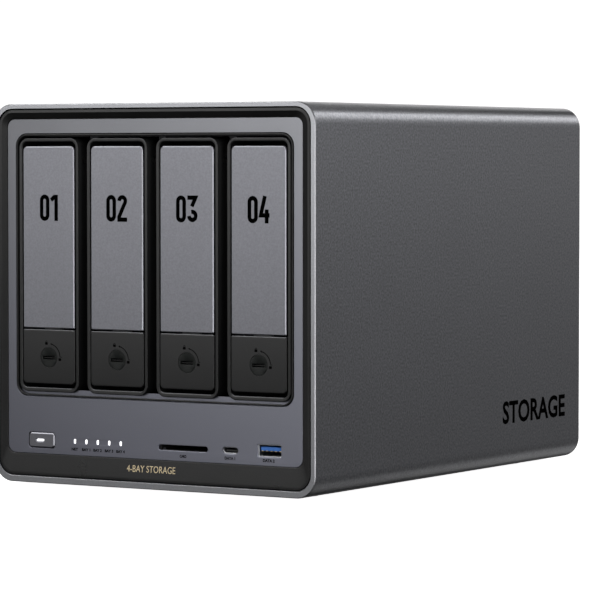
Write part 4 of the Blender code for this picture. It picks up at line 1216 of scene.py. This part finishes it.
def build_floor():
    bm = bmesh.new()
    reach = 4000
    corners = [(-reach, -reach, 0), (reach, -reach, 0), (reach, reach, 0), (-reach, reach, 0)]
    bm.faces.new([bm.verts.new(corner) for corner in corners])
    floor = to_object("floor", bm)
    pale = grey(0.86)
    look, tree, shader = new_look("pale_floor", "none", pale, 0.9)
    shader.inputs["Specular IOR Level"].default_value = 0.1
    shader.inputs["Emission Color"].default_value = (1, 1, 1, 1)
    shader.inputs["Emission Strength"].default_value = FLOOR_GLOW
    tinted(tree, shader, pale, spread(tree, noise(tree, 3, 2), 1, 0.01))
    floor.data.materials.append(look)
    floor.visible_glossy = False
    floor.visible_diffuse = False
    floor.visible_shadow = False


def area_light(name, place, target, size, power):
    light = bpy.data.lights.new(name, "AREA")
    light.shape = "RECTANGLE"
    light.size, light.size_y = size
    light.energy = power
    made = bpy.data.objects.new(name, light)
    made.location = place
    made.rotation_euler = (Vector(target) - Vector(place)).to_track_quat("-Z", "Y").to_euler()
    bpy.context.scene.collection.objects.link(made)


def build_world():
    """White behind the object; soft grey, darker below, in what the object reflects."""
    world = bpy.data.worlds.new("studio")
    bpy.context.scene.world = world
    world.use_nodes = True
    tree = world.node_tree
    background = tree.nodes["Background"]
    place = add_node(tree, "TexCoord").outputs["Generated"]
    split = add_node(tree, "SeparateXYZ", {"Vector": place})
    rise = remap(tree, split.outputs["Z"], -1, 1, 0, 1)
    sky = add_node(tree, "ValToRGB", {"Fac": rise})
    stops = sky.color_ramp.elements
    stops[0].position, stops[0].color = 0.0, (0, 0, 0, 1)
    stops[1].position, stops[1].color = 1.0, (0, 0, 0, 1)
    for level, strength in SKY:
        stop = stops.new((level + 1) / 2)
        stop.color = (strength, strength, strength, 1)
    seen = add_node(tree, "LightPath").outputs["Is Camera Ray"]
    ends = {"Factor": seen, "A": sky.outputs["Color"], "B": BACKDROP}
    choose = add_node(tree, "Mix", ends)
    tree.links.new(choose.outputs["Result"], background.inputs["Strength"])
    background.inputs["Color"].default_value = (1, 1, 1, 1)


FLOOR_GLOW = 1.0
BACKDROP = 1.1
SKY = ((-0.42, 0.02), (-0.22, 0.36), (0.0, 0.21), (0.35, 0.03))
LIGHTS = (
    ("front_high", (-0.05, -0.70, 0.50), (0.03, -0.128, 0.12), (0.5, 0.4), 2.3),
    ("front_card", (-0.42, -0.90, 0.22), (0, -0.128, 0.10), (0.6, 0.25), 0.95),
    ("side_soft", (0.90, 0.60, 0.40), (0.089, 0, 0.12), (0.5, 0.4), 1.45),
    ("side_card", (0.62, 0.88, 0.25), (0.089, 0, 0.12), (0.9, 0.3), 0.27),
    ("side_low", (0.75, 0.90, 0.10), (0.089, 0, 0.09), (0.9, 0.3), 0.13),
    ("back_strip_far", (0.62, 3.60, 1.66), (0.05, 0, 0.17), (0.8, 0.5), 2.2),
    ("back_strip_near", (1.42, 3.40, 2.0), (0.05, 0, 0.17), (0.8, 0.55), 15.4),
    ("back_right", (1.49, 3.52, 1.43), (0.05, 0, 0.17), (1.6, 0.5), 12.5),
    ("back_high", (0.15, 0.95, 0.95), (0.05, 0, 0.17), (0.5, 0.2), 0.4),
    ("under_edge", (0.33, 3.39, -1.57), (0.05, 0, 0.02), (1.8, 0.85), 4.4),
    ("back_low", (-1.75, 3.40, 1.45), (0, 0, 0.17), (1.9, 1.0), 12.0),
    ("top_left", (-0.50, -0.33, 0.90), (0, -0.128, 0.16), (0.5, 0.5), 5.1),
    ("top_right", (0.30, -0.52, 0.85), (0.08, -0.128, 0.17), (0.4, 0.4), 2.4),
    ("front_right", (0.85, -0.62, 0.08), (0, -0.128, 0.10), (0.3, 0.9), 4.3),
)


def build_camera():
    """Fitted to the object's outline: a long lens, a little above the middle, to the right."""
    camera = bpy.data.cameras.new("camera")
    camera.lens = 203.6
    camera.sensor_width = 36.0
    camera.clip_start = 0.05
    made = bpy.data.objects.new("camera", camera)
    made.location = (0.8648, deep(-1277.3) * MM, up(150.6) * MM)
    pitch, turn = -2.3815, 31.568
    made.rotation_euler = (math.radians(90 + pitch), 0.0, math.radians(turn))
    bpy.context.scene.collection.objects.link(made)
    bpy.context.scene.camera = made


build_shell()
build_side_mark()
build_underside()
build_bezel()
build_panel()
build_bay_liner()
build_power_button()
build_status_lights()
build_usb_a()
build_usb_c()
build_card_slot()
for bay in range(1, BAYS + 1):
    build_tray(bay)
build_inside()
build_rear_panel()
build_rear_sockets()
build_fan()
build_filter()

build_floor()
build_world()
for settings in LIGHTS:
    area_light(*settings)
build_camera()
bpy.context.scene.view_settings.view_transform = "Standard"
